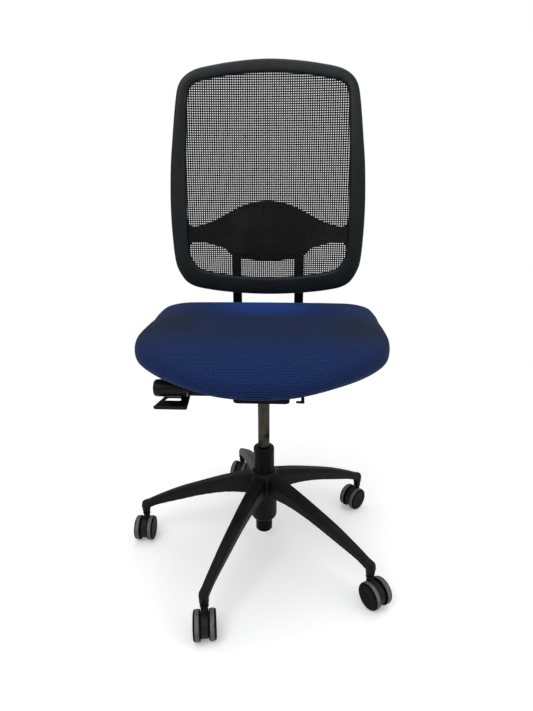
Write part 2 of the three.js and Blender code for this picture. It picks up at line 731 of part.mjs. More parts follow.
function inset(points, amount) {
  const middle = points.reduce((sum, [x, z]) => [sum[0] + x, sum[1] + z], [0, 0]);
  const centre = middle.map((value) => value / points.length);
  const half = [BACK_SURFACE.halfWidth, 270];
  return points.map(([x, z]) => [
    centre[0] + (x - centre[0]) * (1 - amount / half[0]),
    centre[1] + (z - centre[1]) * (1 - amount / half[1]),
  ]);
}

function backShape(windows) {
  const shape = shapeOf(mirrored(BACK_OUTLINE));
  windows.forEach((window) => {
    shape.holes.push(new THREE.Path(mirrored(window).map(([x, z]) => new THREE.Vector2(x, z))));
  });
  return shape;
}

// One opening over both windows, so that only the ring is left.
const RING_WINDOW = [
  ...LOWER_WINDOW.slice(0, 8), [199, 760], ...UPPER_WINDOW.slice(8),
];

add("back_frame", bentPlate(backShape([UPPER_WINDOW, LOWER_WINDOW]), FRAME.front, FRAME.rear),
  material(COLOURS.shell, 0.5));
add("back_bezel", bentPlate(backShape([RING_WINDOW]), BEZEL.front, BEZEL.rear),
  material(COLOURS.shell, 0.5));

// Netting: a thin sheet held between the frame and the bezel.
const nettingShape = shapeOf(inset(mirrored(BACK_OUTLINE), NETTING.inset));
const halfThickness = NETTING.thickness / 2;
add("back_mesh", bentPlate(nettingShape, -halfThickness, halfThickness),
  material(COLOURS.netting, 0.8));

// Carrier: a boat-shaped housing behind the frame's beam that slides on the two uprights.
const CARRIER_OUTLINE = [
  [0, 686], [45, 689], [72, 694], [95, 702], [113, 737], [113, 765], [90, 790], [60, 800], [0, 803],
];

function backCarrier() {
  const { rear, depth, edge } = CARRIER_HOUSING;
  const body = new THREE.ExtrudeGeometry(shapeOf(mirrored(CARRIER_OUTLINE)), {
    depth,
    bevelEnabled: true,
    bevelThickness: edge,
    bevelSize: edge,
    bevelOffset: -edge,
    bevelSegments: 1,
  });
  body.rotateX(Math.PI / 2);
  body.translate(0, rear, 0);
  const slots = [-BAR.x, BAR.x].map((x) => block(
    x - BAR.width / 2 - GAP, x + BAR.width / 2 + GAP,
    BAR.rear - BAR.thickness - GAP, BAR.rear + GAP, 650, 820,
  ));
  return geometryOf(cut(solid(body), ...slots));
}
add("back_carrier", backCarrier(), material(COLOURS.nylon, 0.55));

const chair = new THREE.Group();
chair.name = "office_chair";
chair.add(swivelAxis);

export default chair;
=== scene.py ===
"""Swivel office chair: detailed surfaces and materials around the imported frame."""
import json
from math import cos, exp, hypot, pi, radians, sin, sqrt

import bmesh
import bpy
import numpy as np
from mathutils import Matrix, Vector
from mathutils.geometry import delaunay_2d_cdt
from mathutils.kdtree import KDTree

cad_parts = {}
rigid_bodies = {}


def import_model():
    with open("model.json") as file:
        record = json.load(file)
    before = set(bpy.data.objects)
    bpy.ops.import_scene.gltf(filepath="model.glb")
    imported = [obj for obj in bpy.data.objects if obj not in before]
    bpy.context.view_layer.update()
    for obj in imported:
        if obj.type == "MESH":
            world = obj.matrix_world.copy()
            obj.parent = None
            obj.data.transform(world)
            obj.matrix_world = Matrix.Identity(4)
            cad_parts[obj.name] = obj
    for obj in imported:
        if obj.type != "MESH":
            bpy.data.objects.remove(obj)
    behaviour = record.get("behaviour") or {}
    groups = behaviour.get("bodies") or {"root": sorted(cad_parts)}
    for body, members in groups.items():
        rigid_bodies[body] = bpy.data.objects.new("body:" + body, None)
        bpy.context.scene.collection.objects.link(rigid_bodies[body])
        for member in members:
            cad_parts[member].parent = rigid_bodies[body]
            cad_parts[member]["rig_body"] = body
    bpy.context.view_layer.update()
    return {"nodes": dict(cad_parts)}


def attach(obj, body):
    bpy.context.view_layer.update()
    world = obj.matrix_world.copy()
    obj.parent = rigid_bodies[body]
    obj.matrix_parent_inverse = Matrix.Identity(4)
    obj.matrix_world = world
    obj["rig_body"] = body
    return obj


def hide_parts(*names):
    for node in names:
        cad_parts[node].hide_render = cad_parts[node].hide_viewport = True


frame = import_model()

# Shapes are laid out in millimetres about the swivel axis, and shifted into the frame. A piece's
# mesh is kept in metres, so that the patterns in its material are in metres too.
SHIFT = np.array([22.08, 13.595, -6.0])
TO_FRAME = Matrix.Scale(0.001, 4) @ Matrix.Translation(Vector(SHIFT))

PLACES = ("rear_left", "rear", "right", "front_right", "front_left")
HEADINGS = (-43, -16.5, 0, 9, 34)
CIRCLE = 305.9
FIRST_ARM = 33.6
TRAIL = 19
AXLE_HEIGHT = 36


# ---------------------------------------------------------------- mesh helpers

def mesh_from(name, shells, sharp=38):
    """One mesh of closed shells, each (points in mm, faces)."""
    points = np.concatenate([np.array(shell_points) for shell_points, _ in shells])
    faces, start = [], 0
    for shell_points, shell_faces in shells:
        faces.extend(tuple(i + start for i in face) for face in shell_faces)
        start += len(shell_points)
    mesh = bpy.data.meshes.new(name)
    mesh.from_pydata(points.tolist(), [], faces)
    tidy_mesh(mesh, sharp)
    return mesh


def tidy_mesh(mesh, sharp=38):
    work = bmesh.new()
    work.from_mesh(mesh)
    bmesh.ops.remove_doubles(work, verts=work.verts, dist=1e-5)
    bmesh.ops.recalc_face_normals(work, faces=work.faces)
    work.to_mesh(mesh)
    work.free()
    mesh.polygons.foreach_set("use_smooth", [True] * len(mesh.polygons))
    mesh.set_sharp_from_angle(angle=radians(sharp))
    mesh.update()


def piece(name, mesh, look, body, nodes=(), matrix=TO_FRAME):
    """A visible piece that rides a body and stands for CAD nodes."""
    if not mesh.get("metres"):
        mesh.transform(Matrix.Scale(0.001, 4))
        mesh["metres"] = True
    obj = bpy.data.objects.new(name, mesh)
    bpy.context.scene.collection.objects.link(obj)
    obj.matrix_world = matrix @ Matrix.Scale(1000, 4)
    if not mesh.materials:
        mesh.materials.append(LOOKS[look])
    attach(obj, body)
    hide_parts(*nodes)
    return obj


def applied(mesh, *modifiers):
    """The mesh after modifiers, each (type, settings)."""
    obj = bpy.data.objects.new("work", mesh)
    bpy.context.scene.collection.objects.link(obj)
    for kind, settings in modifiers:
        modifier = obj.modifiers.new(kind, kind)
        for key, value in settings.items():
            setattr(modifier, key, value)
    graph = bpy.context.evaluated_depsgraph_get()
    result = bpy.data.meshes.new_from_object(obj.evaluated_get(graph))
    result.name = mesh.name
    bpy.data.objects.remove(obj)
    return result


def fused(mesh, voxel, smoothing=4, sharp=60):
    """Overlapping shells made one skin with softened edges, as a moulding or casting has."""
    result = applied(
        mesh,
        ("REMESH", {"mode": "VOXEL", "voxel_size": voxel}),
        ("SMOOTH", {"factor": 0.5, "iterations": smoothing}),
    )
    tidy_mesh(result, sharp)
    return result


def rounded(points, radius, closed=False, steps=4):
    """A line with its corners rounded."""
    line = [np.array(p, float) for p in points]
    count = len(line)
    made = []
    for i, corner in enumerate(line):
        if not closed and i in (0, count - 1):
            made.append(corner)
            continue
        before, after = line[i - 1] - corner, line[(i + 1) % count] - corner
        reach = min(radius, 0.45 * np.linalg.norm(before), 0.45 * np.linalg.norm(after))
        start = corner + before / np.linalg.norm(before) * reach
        end = corner + after / np.linalg.norm(after) * reach
        for k in range(steps + 1):
            t = k / steps
            made.append((1 - t) ** 2 * start + 2 * t * (1 - t) * corner + t * t * end)
    return made


def curve_through(points, spacing=None, steps=None, closed=False):
    """Centripetal Catmull-Rom curve through the points."""
    line = [np.array(p, float) for p in points]
    count = len(line)
    made = []
    for i in range(count if closed else count - 1):
        p1, p2 = line[i], line[(i + 1) % count]
        p0 = line[i - 1] if closed or i > 0 else 2 * p1 - p2
        p3 = line[(i + 2) % count] if closed or i + 2 < count else 2 * p2 - p1
        knots = [0.0]
        for a, b in ((p0, p1), (p1, p2), (p2, p3)):
            knots.append(knots[-1] + max(np.linalg.norm(b - a), 1e-6) ** 0.5)
        t0, t1, t2, t3 = knots
        pieces = steps or max(1, round(float(np.linalg.norm(p2 - p1)) / spacing))
        for k in range(pieces):
            t = t1 + (t2 - t1) * k / pieces
            a1 = (t1 - t) / (t1 - t0) * p0 + (t - t0) / (t1 - t0) * p1
            a2 = (t2 - t) / (t2 - t1) * p1 + (t - t1) / (t2 - t1) * p2
            a3 = (t3 - t) / (t3 - t2) * p2 + (t - t2) / (t3 - t2) * p3
            b1 = (t2 - t) / (t2 - t0) * a1 + (t - t0) / (t2 - t0) * a2
            b2 = (t3 - t) / (t3 - t1) * a2 + (t - t1) / (t3 - t1) * a3
            made.append((t2 - t) / (t2 - t1) * b1 + (t - t1) / (t2 - t1) * b2)
    if not closed:
        made.append(line[-1])
    return np.array(made)


def turned(profile, sides=72, axis="Z", centre=(0, 0, 0)):
    """A turned shell about an axis through centre, from (radius, distance) points."""
    points, rings, faces = [], [], []
    ring_shaped = profile[0][0] > 0
    for radius, along in profile:
        start = len(points)
        many = sides if radius > 1e-6 else 1
        for k in range(many):
            a = 2 * pi * k / sides
            across = (radius * cos(a), radius * sin(a))
            local = (*across, along) if axis == "Z" else (along, *across)
            points.append(np.array(local) + centre)
        rings.append((start, many))
    pairs = list(zip(rings, rings[1:])) + ([(rings[-1], rings[0])] if ring_shaped else [])
    for (near, near_count), (far, far_count) in pairs:
        for k in range(sides):
            j = (k + 1) % sides
            corners = [near + k % near_count, near + j % near_count]
            corners += [far + j % far_count, far + k % far_count]
            face = list(dict.fromkeys(corners))
            if len(face) > 2:
                faces.append(face)
    return points, faces


def lofted(rings, closed=False):
    """A shell over rings of equal point count, capped at both ends unless it closes on itself."""
    count = len(rings[0])
    points = [p for ring in rings for p in ring]
    faces = []
    last = len(rings) if closed else len(rings) - 1
    for k in range(last):
        near, far = k * count, (k + 1) % len(rings) * count
        for i in range(count):
            j = (i + 1) % count
            faces.append((near + i, near + j, far + j, far + i))
    if not closed:
        end = (len(rings) - 1) * count
        faces.append(tuple(range(count)))
        faces.append(tuple(end + i for i in reversed(range(count))))
    return points, faces


def swept(path, section):
    """A section of (side, up) offsets swept along a path in the Y-Z plane; side is along X."""
    rings = []
    for i, point in enumerate(path):
        ahead = path[min(i + 1, len(path) - 1)] - path[max(i - 1, 0)]
        ahead = ahead / np.linalg.norm(ahead)
        normal = np.array([-ahead[1], ahead[0]])
        rings.append([
            (side, point[0] + normal[0] * up, point[1] + normal[1] * up) for side, up in section
        ])
    return lofted(rings)


def prism_x(outline, low, high):
    """A prism along X from an outline of (y, z) points."""
    return lofted([[(x, y, z) for y, z in outline] for x in (low, high)])


def slab(low, high):
    (x0, y0, z0), (x1, y1, z1) = low, high
    return prism_x([(y0, z0), (y1, z0), (y1, z1), (y0, z1)], x0, x1)


def inside(points, loops):
    """Which points lie inside the outline and outside its holes."""
    found = np.zeros(len(points), bool)
    x, z = points[:, 0], points[:, 1]
    for loop in loops:
        for (x1, z1), (x2, z2) in zip(loop, np.roll(loop, -1, axis=0)):
            if z1 == z2:
                continue
            crosses = (z1 > z) != (z2 > z)
            found ^= crosses & (x < (x2 - x1) * (z - z1) / (z2 - z1) + x1)
    return found


def inward(loop, is_hole):
    """Unit normals of a loop's points, pointing into the material."""
    along = np.roll(loop, -1, axis=0) - np.roll(loop, 1, axis=0)
    normal = np.stack([-along[:, 1], along[:, 0]], axis=1)
    normal /= np.linalg.norm(normal, axis=1)[:, None]
    x, z = loop[:, 0], loop[:, 1]
    counterclockwise = np.sum(x * np.roll(z, -1) - np.roll(x, -1) * z) > 0
    return normal if counterclockwise != is_hole else -normal


def plate(loops, place, near, far, steps, pitch=11):
    """A plate over an outline with holes. place(a, b, depth) puts a point in space; near and far
    give the depths of its two faces from the distance to the edge; steps are the distances at
    which the faces bend."""
    rows = [np.concatenate([loop + inward(loop, i > 0) * d for i, loop in enumerate(loops)])
            for d in steps]
    edge = np.concatenate(loops)
    tree = KDTree(len(edge))
    for i, (a, b) in enumerate(edge):
        tree.insert((a, b, 0), i)
    tree.balance()
    low, high = edge.min(0), edge.max(0)
    grid = np.stack(np.meshgrid(
        np.arange(low[0], high[0], pitch), np.arange(low[1], high[1], pitch),
    ), axis=-1).reshape(-1, 2)
    extra = [edge]
    for d, row in zip(steps, rows):
        clear = np.array([tree.find((a, b, 0))[2] > 0.93 * d for a, b in row])
        extra.append(row[clear & inside(row, loops)])
    grid = grid[inside(grid, loops)]
    grid = grid[[tree.find((a, b, 0))[2] > max(steps) + 0.35 * pitch for a, b in grid]]
    flat = np.concatenate([*extra, grid])
    edges, start = [], 0
    for loop in loops:
        edges += [(start + i, start + (i + 1) % len(loop)) for i in range(len(loop))]
        start += len(loop)
    verts, _, faces, *_ = delaunay_2d_cdt([Vector(p) for p in flat], edges, [], 0, 1e-4)
    flat = np.array([tuple(v) for v in verts])
    middles = np.array([flat[list(face)].mean(0) for face in faces])
    kept = [face for face, good in zip(faces, inside(middles, loops)) if good]
    distance = np.array([tree.find((a, b, 0))[2] for a, b in flat])
    distance[distance < 0.02] = 0
    count = len(flat)
    points = [place(a, b, near(d)) for (a, b), d in zip(flat, distance)]
    points += [place(a, b, far(d)) for (a, b), d in zip(flat, distance)]
    borders = {}
    for face in kept:
        for a, b in zip(face, (*face[1:], face[0])):
            borders[(a, b)] = (b, a) not in borders
            if (b, a) in borders:
                borders[(b, a)] = False
                borders[(a, b)] = False
    shell = [tuple(face) for face in kept]
    shell += [tuple(i + count for i in reversed(face)) for face in kept]
    shell += [(b, a, a + count, b + count) for (a, b), alone in borders.items() if alone]
    used = sorted({i for face in shell for i in face})
    number = {old: new for new, old in enumerate(used)}
    return [points[i] for i in used], [tuple(number[i] for i in face) for face in shell]


def edge_steps(radius, *more):
    return [radius * (1 - cos(radians(a))) for a in (30, 60, 90)] + list(more)


def rolled(depth, radius, toward):
    """The depth of a face whose edge is rounded: toward is +1 where the plate lies deeper."""
    def at(distance):
        t = min(distance / radius, 1)
        return depth + toward * radius * (1 - sqrt(max(0, 1 - (1 - t) ** 2)))
    return at


# ---------------------------------------------------------------- materials

def colour(red, green, blue):
    """Linear colour from 0-255 display values."""
    def line(value):
        value /= 255
        return value / 12.92 if value <= 0.04045 else ((value + 0.055) / 1.055) ** 2.4
    return (line(red), line(green), line(blue), 1)


class Look:
    """A node material under construction."""

    def __init__(self, name, **sockets):
        self.material = bpy.data.materials.new(name)
        self.material.use_nodes = True
        self.tree = self.material.node_tree
        self.shader = self.tree.nodes["Principled BSDF"]
        for key, value in sockets.items():
            self.shader.inputs[key.replace("_", " ")].default_value = value
        self.place = self.node("TexCoord").outputs["Object"]

    def node(self, kind, inputs=None, **settings):
        made = self.tree.nodes.new("ShaderNode" + kind)
        for key, value in settings.items():
            setattr(made, key, value)
        for key, value in (inputs or {}).items():
            if isinstance(value, bpy.types.NodeSocket):
                self.tree.links.new(value, made.inputs[key])
            else:
                made.inputs[key].default_value = value
        return made

    def noise(self, scale, detail=3, roughness=0.6, vector=None, stretch=None):
        vector = vector or self.place
        if stretch:
            vector = self.node("Mapping", {"Vector": vector, "Scale": stretch}).outputs[0]
        made = self.node("TexNoise", {
            "Vector": vector, "Scale": scale, "Detail": detail, "Roughness": roughness,
        })
        return made.outputs["Fac"]

    def ramp(self, value, low, high, start=0.0, end=1.0, smooth=True):
        made = self.node("MapRange", {
            "Value": value, "From Min": low, "From Max": high, "To Min": start, "To Max": end,
        }, interpolation_type="SMOOTHSTEP" if smooth else "LINEAR")
        return made.outputs["Result"]

    def math(self, operation, a, b=0.0):
        return self.node("Math", {0: a, 1: b}, operation=operation).outputs[0]

    def vector(self, operation, a, b):
        return self.node("VectorMath", {0: a, 1: b}, operation=operation).outputs[0]

    def mix(self, factor, a, b):
        made = self.node("Mix", {0: factor, 6: a, 7: b}, data_type="RGBA")
        return made.outputs[2]

    def bump(self, height, distance, strength=1.0, normal=None):
        inputs = {"Height": height, "Distance": distance, "Strength": strength}
        if normal:
            inputs["Normal"] = normal
        return self.node("Bump", inputs).outputs["Normal"]

    def link(self, socket, name):
        self.tree.links.new(socket, self.shader.inputs[name])

    def worn_edges(self, low=0.52, high=0.62):
        return self.ramp(self.node("NewGeometry").outputs["Pointiness"], low, high)

    def facing_up(self):
        normal = self.node("NewGeometry").outputs["Normal"]
        height = self.node("SeparateXYZ", {"Vector": normal}).outputs["Z"]
        return self.ramp(height, 0.35, 0.95)


def plastic(name, base, light, rough, grain=0.00008, pitch=900, dust=0.0, dusty=None, wear=0.3,
            shine=0.3):
    """Moulded plastic: spark-eroded grain, cloudy gloss, lighter worn edges and settled dust."""
    look = Look(name, Specular_IOR_Level=shine)
    clouds = look.ramp(look.noise(9, 4), 0.35, 0.7)
    body = look.mix(clouds, base, light)
    edges = look.math("MULTIPLY", look.worn_edges(), look.ramp(look.noise(60, 3), 0.4, 0.7))
    body = look.mix(look.math("MULTIPLY", edges, wear), body, colour(120, 120, 120))
    settled = look.math("MULTIPLY", look.facing_up(), look.ramp(look.noise(22, 5, 0.7), 0.3, 0.75))
    settled = look.math("MULTIPLY", settled, dust)
    body = look.mix(settled, body, dusty or colour(110, 108, 104))
    look.link(body, "Base Color")
    scuffs = look.ramp(look.noise(35, 6, 0.75), 0.45, 0.75, rough - 0.06, rough + 0.1)
    look.link(look.math("ADD", scuffs, look.math("MULTIPLY", settled, 0.5)), "Roughness")
    fine = look.bump(look.noise(pitch, 2, 0.5), grain)
    look.link(look.bump(look.noise(70, 2), 0.00012, 0.5, fine), "Normal")
    return look.material


def metal(name, base, light, rough, metallic=1.0, brush=(1, 1, 1), smudge=0.5, smudges=None):
    """Steel: fine brushing, cloudy tone and dark smudges."""
    look = Look(name, Metallic=metallic)
    streaks = look.noise(700, 3, 0.6, stretch=brush)
    body = look.mix(look.ramp(streaks, 0.3, 0.7), base, light)
    stains = look.ramp(look.noise(28, 5, 0.65), 0.48, 0.66)
    stains = look.math("MULTIPLY", stains, smudge)
    body = look.mix(stains, body, smudges or colour(40, 38, 34))
    look.link(body, "Base Color")
    gloss = look.ramp(streaks, 0.3, 0.7, rough - 0.05, rough + 0.08)
    look.link(look.math("ADD", gloss, look.math("MULTIPLY", stains, 0.3)), "Roughness")
    look.link(look.bump(streaks, 0.00003), "Normal")
    return look.material


def rubber(name):
    look = Look(name, Specular_IOR_Level=0.35)
    dirt = look.ramp(look.noise(80, 5, 0.7), 0.42, 0.7)
    look.link(look.mix(dirt, colour(98, 99, 102), colour(62, 61, 60)), "Base Color")
    look.link(look.ramp(look.noise(150, 4), 0.3, 0.7, 0.55, 0.8), "Roughness")
    look.link(look.bump(look.noise(500, 3), 0.0001), "Normal")
    return look.material


def shell_plastic(name):
    """The back's plastic: satin, with a cool sheen, dust specks and lighter bluish grey on its
    edges.
    """
    look = Look(name, Specular_IOR_Level=0.26)
    clouds = look.ramp(look.noise(7, 4), 0.3, 0.7)
    body = look.mix(clouds, colour(11, 12, 14), colour(21, 23, 27))
    specks = look.ramp(look.noise(330, 2, 0.5), 0.71, 0.78)
    body = look.mix(look.math("MULTIPLY", specks, 0.45), body, colour(120, 122, 125))
    body = look.mix(look.math("MULTIPLY", look.worn_edges(), 0.12), body, colour(105, 108, 112))
    look.link(body, "Base Color")
    look.link(look.ramp(look.noise(40, 5, 0.7), 0.35, 0.75, 0.4, 0.58), "Roughness")
    fine = look.bump(look.noise(850, 2, 0.5), 0.00009)
    look.link(look.bump(look.noise(45, 2), 0.0002, 0.4, fine), "Normal")
    return look.material


def netting_yarn(name):
    look = Look(name, Roughness=0.75, Specular_IOR_Level=0.15)
    shade = look.ramp(look.noise(420, 3), 0.3, 0.7)
    body = look.mix(shade, colour(9, 9, 10), colour(28, 28, 28))
    dust = look.ramp(look.noise(9, 4, 0.7), 0.45, 0.7)
    body = look.mix(look.math("MULTIPLY", dust, 0.2), body, colour(66, 64, 62))
    look.link(body, "Base Color")
    twist = look.node("TexWave", {
        "Vector": look.place, "Scale": 900.0, "Distortion": 3.0, "Detail": 2.0,
    }, bands_direction="DIAGONAL")
    look.link(look.ramp(twist.outputs["Fac"], 0, 1, 0.62, 0.85), "Roughness")
    look.link(look.bump(twist.outputs["Fac"], 0.00012), "Normal")
    return look.material


# The cells of the seat's fabric in metres; the last makes their holes slightly oval.
CELL_WIDTH, CELL_LENGTH, CELL_OVAL = 0.0049, 0.0085, 0.0098


def seat_cloth(name):
    """Blue spacer fabric: staggered cells in a knitted face, their holes near-black as painted
    shade, lighter yarn flecks as painted highlights, dusty worn zones across the middle that turn
    greyer and darker towards the sides as painted shade, and a painted highlight over the rear
    middle.
    """
    look = Look(name, Sheen_Weight=0.06, Sheen_Roughness=0.4, Specular_IOR_Level=0.12)
    look.shader.inputs["Sheen Tint"].default_value = (0.45, 0.6, 1, 1)
    flat = look.node("UVMap", uv_map="cover").outputs["UV"]
    warp = look.node("TexNoise", {"Vector": flat, "Scale": 60.0, "Detail": 2.0}).outputs["Color"]
    warp = look.vector("SUBTRACT", warp, (0.5, 0.5, 0.5))
    warp = look.node("VectorMath", {0: warp, "Scale": 0.0009}, operation="SCALE").outputs[0]
    flat = look.vector("ADD", flat, warp)
    # Two grids of cells, the second half a cell along and across from the first.
    distances = []
    for offset in (0.0, 0.5):
        spot = look.vector("DIVIDE", flat, (CELL_WIDTH, CELL_LENGTH, 1.0))
        spot = look.vector("ADD", spot, (offset, offset, 0))
        spot = look.node("VectorMath", {0: spot}, operation="FRACTION").outputs[0]
        spot = look.vector("SUBTRACT", spot, (0.5, 0.5, 0))
        spot = look.vector("MULTIPLY", spot, (CELL_WIDTH, CELL_OVAL, 0))
        distances.append(look.node("VectorMath", {0: spot}, operation="LENGTH").outputs["Value"])
    near = look.math("MINIMUM", *distances)
    face = look.ramp(near, 0.0011, 0.0022)
    yarn = look.noise(1500, 3, 0.7, vector=flat)
    fuzz = look.ramp(look.noise(240, 4, 0.7, vector=flat), 0.3, 0.72)
    blue = look.mix(fuzz, colour(12, 31, 76), colour(21, 49, 108))
    # Painted highlight: lighter flecks where the yarn's fibres catch the light.
    blue = look.mix(look.ramp(yarn, 0.35, 0.7, 0, 0.3), blue, colour(48, 74, 124))
    place = look.node("SeparateXYZ", {"Vector": look.place})
    wide, deep = place.outputs["X"], place.outputs["Y"]
    # Greyer patches across the middle of the seat are dust and wear; the extra weight towards the
    # sides darkens them as painted shade.
    patches = look.noise(12, 4, 0.6)
    sides = look.ramp(look.math("ABSOLUTE", wide), 0.1, 0.22)
    middle = look.ramp(look.math("ABSOLUTE", look.math("ADD", deep, 0.025)), 0.165, 0.035)
    ring = look.math("MULTIPLY", look.ramp(sides, 0, 1, 0.6, 1.0), middle)
    dusty = look.math("MULTIPLY", ring, look.ramp(patches, 0.3, 0.68, 0.55, 1.0))
    blue = look.mix(look.math("MULTIPLY", dusty, 0.85), blue, colour(24, 29, 36))
    # Painted highlight: the rear middle of the seat is brightened towards a vivid blue, as where
    # the lights catch it.
    centre = look.ramp(look.math("ABSOLUTE", wide), 0.17, 0.02)
    rear = look.math("MULTIPLY", look.ramp(deep, 0.03, 0.17), centre)
    blue = look.mix(look.math("MULTIPLY", rear, 0.85), blue, colour(34, 78, 172))
    # The staggered holes are the fabric's own pattern; their near-black colour is painted shade
    # inside them.
    depth = look.mix(face, colour(1, 3, 8), blue)
    look.link(depth, "Base Color")
    look.link(look.ramp(yarn, 0.3, 0.7, 0.78, 0.95), "Roughness")
    cells = look.bump(face, 0.0007, 0.9)
    look.link(look.bump(yarn, 0.00025, 0.7, cells), "Normal")
    return look.material


LOOKS = {
    "base_nylon": plastic(
        "base_nylon", colour(9, 9, 10), colour(19, 19, 20), 0.5,
        dust=0.1, dusty=colour(76, 76, 76), wear=0.14, shine=0.16,
    ),
    "back_shell": shell_plastic("back_shell"),
    "control_plastic": plastic(
        "control_plastic", colour(8, 8, 8), colour(16, 16, 17), 0.4, dust=0.04, wear=0.12,
        shine=0.18,
    ),
    "black_steel": plastic(
        "black_steel", colour(5, 5, 5), colour(10, 10, 11), 0.42, grain=0.00005, pitch=500,
        dust=0.03, wear=0.14, shine=0.08,
    ),
    "bright_steel": metal(
        "bright_steel", colour(140, 139, 136), colour(186, 185, 181), 0.26, brush=(1, 1, 0.05),
        smudge=0.3,
    ),
    "dark_chrome": metal(
        "dark_chrome", colour(48, 45, 40), colour(78, 74, 66), 0.28, brush=(1, 1, 0.04),
        smudge=0.95, smudges=colour(12, 12, 11),
    ),
    "tread_rubber": rubber("tread_rubber"),
    "seat_fabric": seat_cloth("seat_fabric"),
    "back_netting": netting_yarn("back_netting"),
}
WHEEL_BLACK = plastic(
    "wheel_black", colour(5, 5, 5), colour(10, 10, 11), 0.5, dust=0.02, wear=0.12, shine=0.07,
)
FORK_GREY = plastic(
    "fork_grey", colour(19, 18, 17), colour(32, 30, 28), 0.55, dust=0.14,
    dusty=colour(92, 88, 82), wear=0.3, shine=0.2,
)

# ---------------------------------------------------------------- star base

ARM_STATIONS = (
    # distance, top, bottom, crown, width
    (20, 207, 151, 24, 36),
    (90, 189, 149, 22, 33),
    (150, 170, 137, 19, 29),
    (215, 147, 117, 16, 25),
    (275, 120, 97, 12, 21),
    (300, 107, 85, 10.5, 20.5),
    (308, 104.5, 84, 10, 20),
    (313, 100, 84.5, 8.5, 17.5),
    (316, 94, 85.5, 6, 13),
    (317.3, 88.5, 86.5, 3, 7),
)
WALL = 3.6


def turn_about_axis(shell, angle):
    points, faces = shell
    c, s = cos(radians(angle)), sin(radians(angle))
    return [(x * c - y * s, x * s + y * c, z) for x, y, z in points], faces


def base_arm(angle):
    rings = []
    for r, top, bottom, crown, width in curve_through(ARM_STATIONS, spacing=7):
        shoulder = top - 0.3 * (top - bottom)
        outer = [(0.42 * width, bottom), (0.5 * width, shoulder), (0.5 * crown, top)]
        lining = [
            (0.42 * width - WALL, bottom),
            (0.5 * width - WALL, shoulder - 1),
            (max(0.5 * crown - WALL, 1.5), top - WALL - 0.6),
        ]
        if r > 296:
            lining = [(0.1 * a, bottom + 0.5 + 0.01 * k) for k, (a, _) in enumerate(lining)]
        loop = outer + [(-a, b) for a, b in outer[::-1]]
        loop += [(-a, b) for a, b in lining] + lining[::-1]
        rings.append([(r, side, z) for side, z in loop])
    shells = [lofted(rings)]
    for r in (62, 96, 130, 164, 198, 232, 262):
        _, top, bottom, _, width = [
            float(np.interp(r, [s[0] for s in ARM_STATIONS], [s[k] for s in ARM_STATIONS]))
            for k in range(5)
        ]
        reach = 0.42 * width - 1
        shells.append(slab((r - 1.3, -reach, bottom + 5), (r + 1.3, reach, top - 3)))
    return [turn_about_axis(shell, angle) for shell in shells]


def base_socket(angle):
    profile = rounded(
        [(0, 69), (7.6, 69), (10.2, 75), (10.6, 86), (10.4, 99), (6, 103.5), (0, 103.5)], 3,
    )
    return turn_about_axis(turned(profile, 40, centre=(CIRCLE, 0, 0)), angle)


def star_base():
    hub = turned(rounded(
        [(0, 75), (24.4, 75), (31.6, 84), (32, 205), (28.5, 212), (0, 212)], 3,
    ), 96)
    shells = [hub]
    for k in range(5):
        shells += base_arm(FIRST_ARM + 72 * k)
        shells.append(base_socket(FIRST_ARM + 72 * k))
    body = fused(mesh_from("star_base_moulding", shells), 1.7, 5)
    bore = mesh_from("bore", [turned([
        (0, 60), (21.7, 60), (21.7, 87), (25.3, 93.5), (25.3, 230), (0, 230),
    ], 96)])
    tool = bpy.data.objects.new("bore", bore)
    bpy.context.scene.collection.objects.link(tool)
    body = applied(body, ("BOOLEAN", {"object": tool, "operation": "DIFFERENCE"}))
    bpy.data.objects.remove(tool)
    tidy_mesh(body, 50)
    return body


piece("star_base_moulding", star_base(), "base_nylon", "base", ["star_base"])

# ---------------------------------------------------------------- column and gas spring


def turned_piece(name, profile, look, body, node, corner=0.6, sides=72, axis="Z", centre=(0, 0, 0)):
    line = rounded(profile, corner, closed=profile[0][0] > 0)
    return piece(
        name, mesh_from(name, [turned(line, sides, axis, centre)]), look, body, [node],
    )


turned_piece("column_sleeve", [
    (6, 48), (17.5, 48), (17.5, 42), (18.6, 42), (20.5, 44.5), (20.5, 86), (25, 94),
    (25, 268.6), (24.2, 270.5), (23.2, 270.5), (23.2, 95), (18.5, 87), (18.5, 52), (6, 52),
], "black_steel", "base", "column_tube", sides=96)
turned_piece("column_bushing", [
    (14.4, 180), (22.9, 180), (22.9, 270.8), (24.8, 270.8), (24.4, 272), (22, 274.5),
    (14.4, 274.5),
], "base_nylon", "base", "guide_bushing", sides=96)
turned_piece("thrust_race", [
    (6, 52.3), (15, 52.3), (15, 53.8), (13.6, 54.1), (13.6, 55), (15, 55.3), (15, 56.8),
    (6, 56.8),
], "bright_steel", "spindle", "thrust_bearing", corner=0.3, sides=64)
turned_piece("gas_tube", [
    (0, 336), (5.4, 336), (5.4, 193), (13.2, 193), (14, 195), (14, 430), (13.2, 467),
    (11, 470), (3.3, 470), (3.3, 452), (0, 452),
], "dark_chrome", "lift", "gas_cylinder", sides=96)
turned_piece("piston_rod", [
    (0, 44), (4.3, 44), (5, 45.2), (5, 57.2), (11, 57.2), (11, 60), (5, 60), (5, 218), (0, 218),
], "bright_steel", "spindle", "gas_spring_rod", corner=0.4, sides=48)
turned_piece("release_button", [(0, 457.6), (3, 457.6), (3, 476), (2.2, 477), (0, 477)],
             "bright_steel", "release_pin", "release_pin", corner=0.5, sides=40)


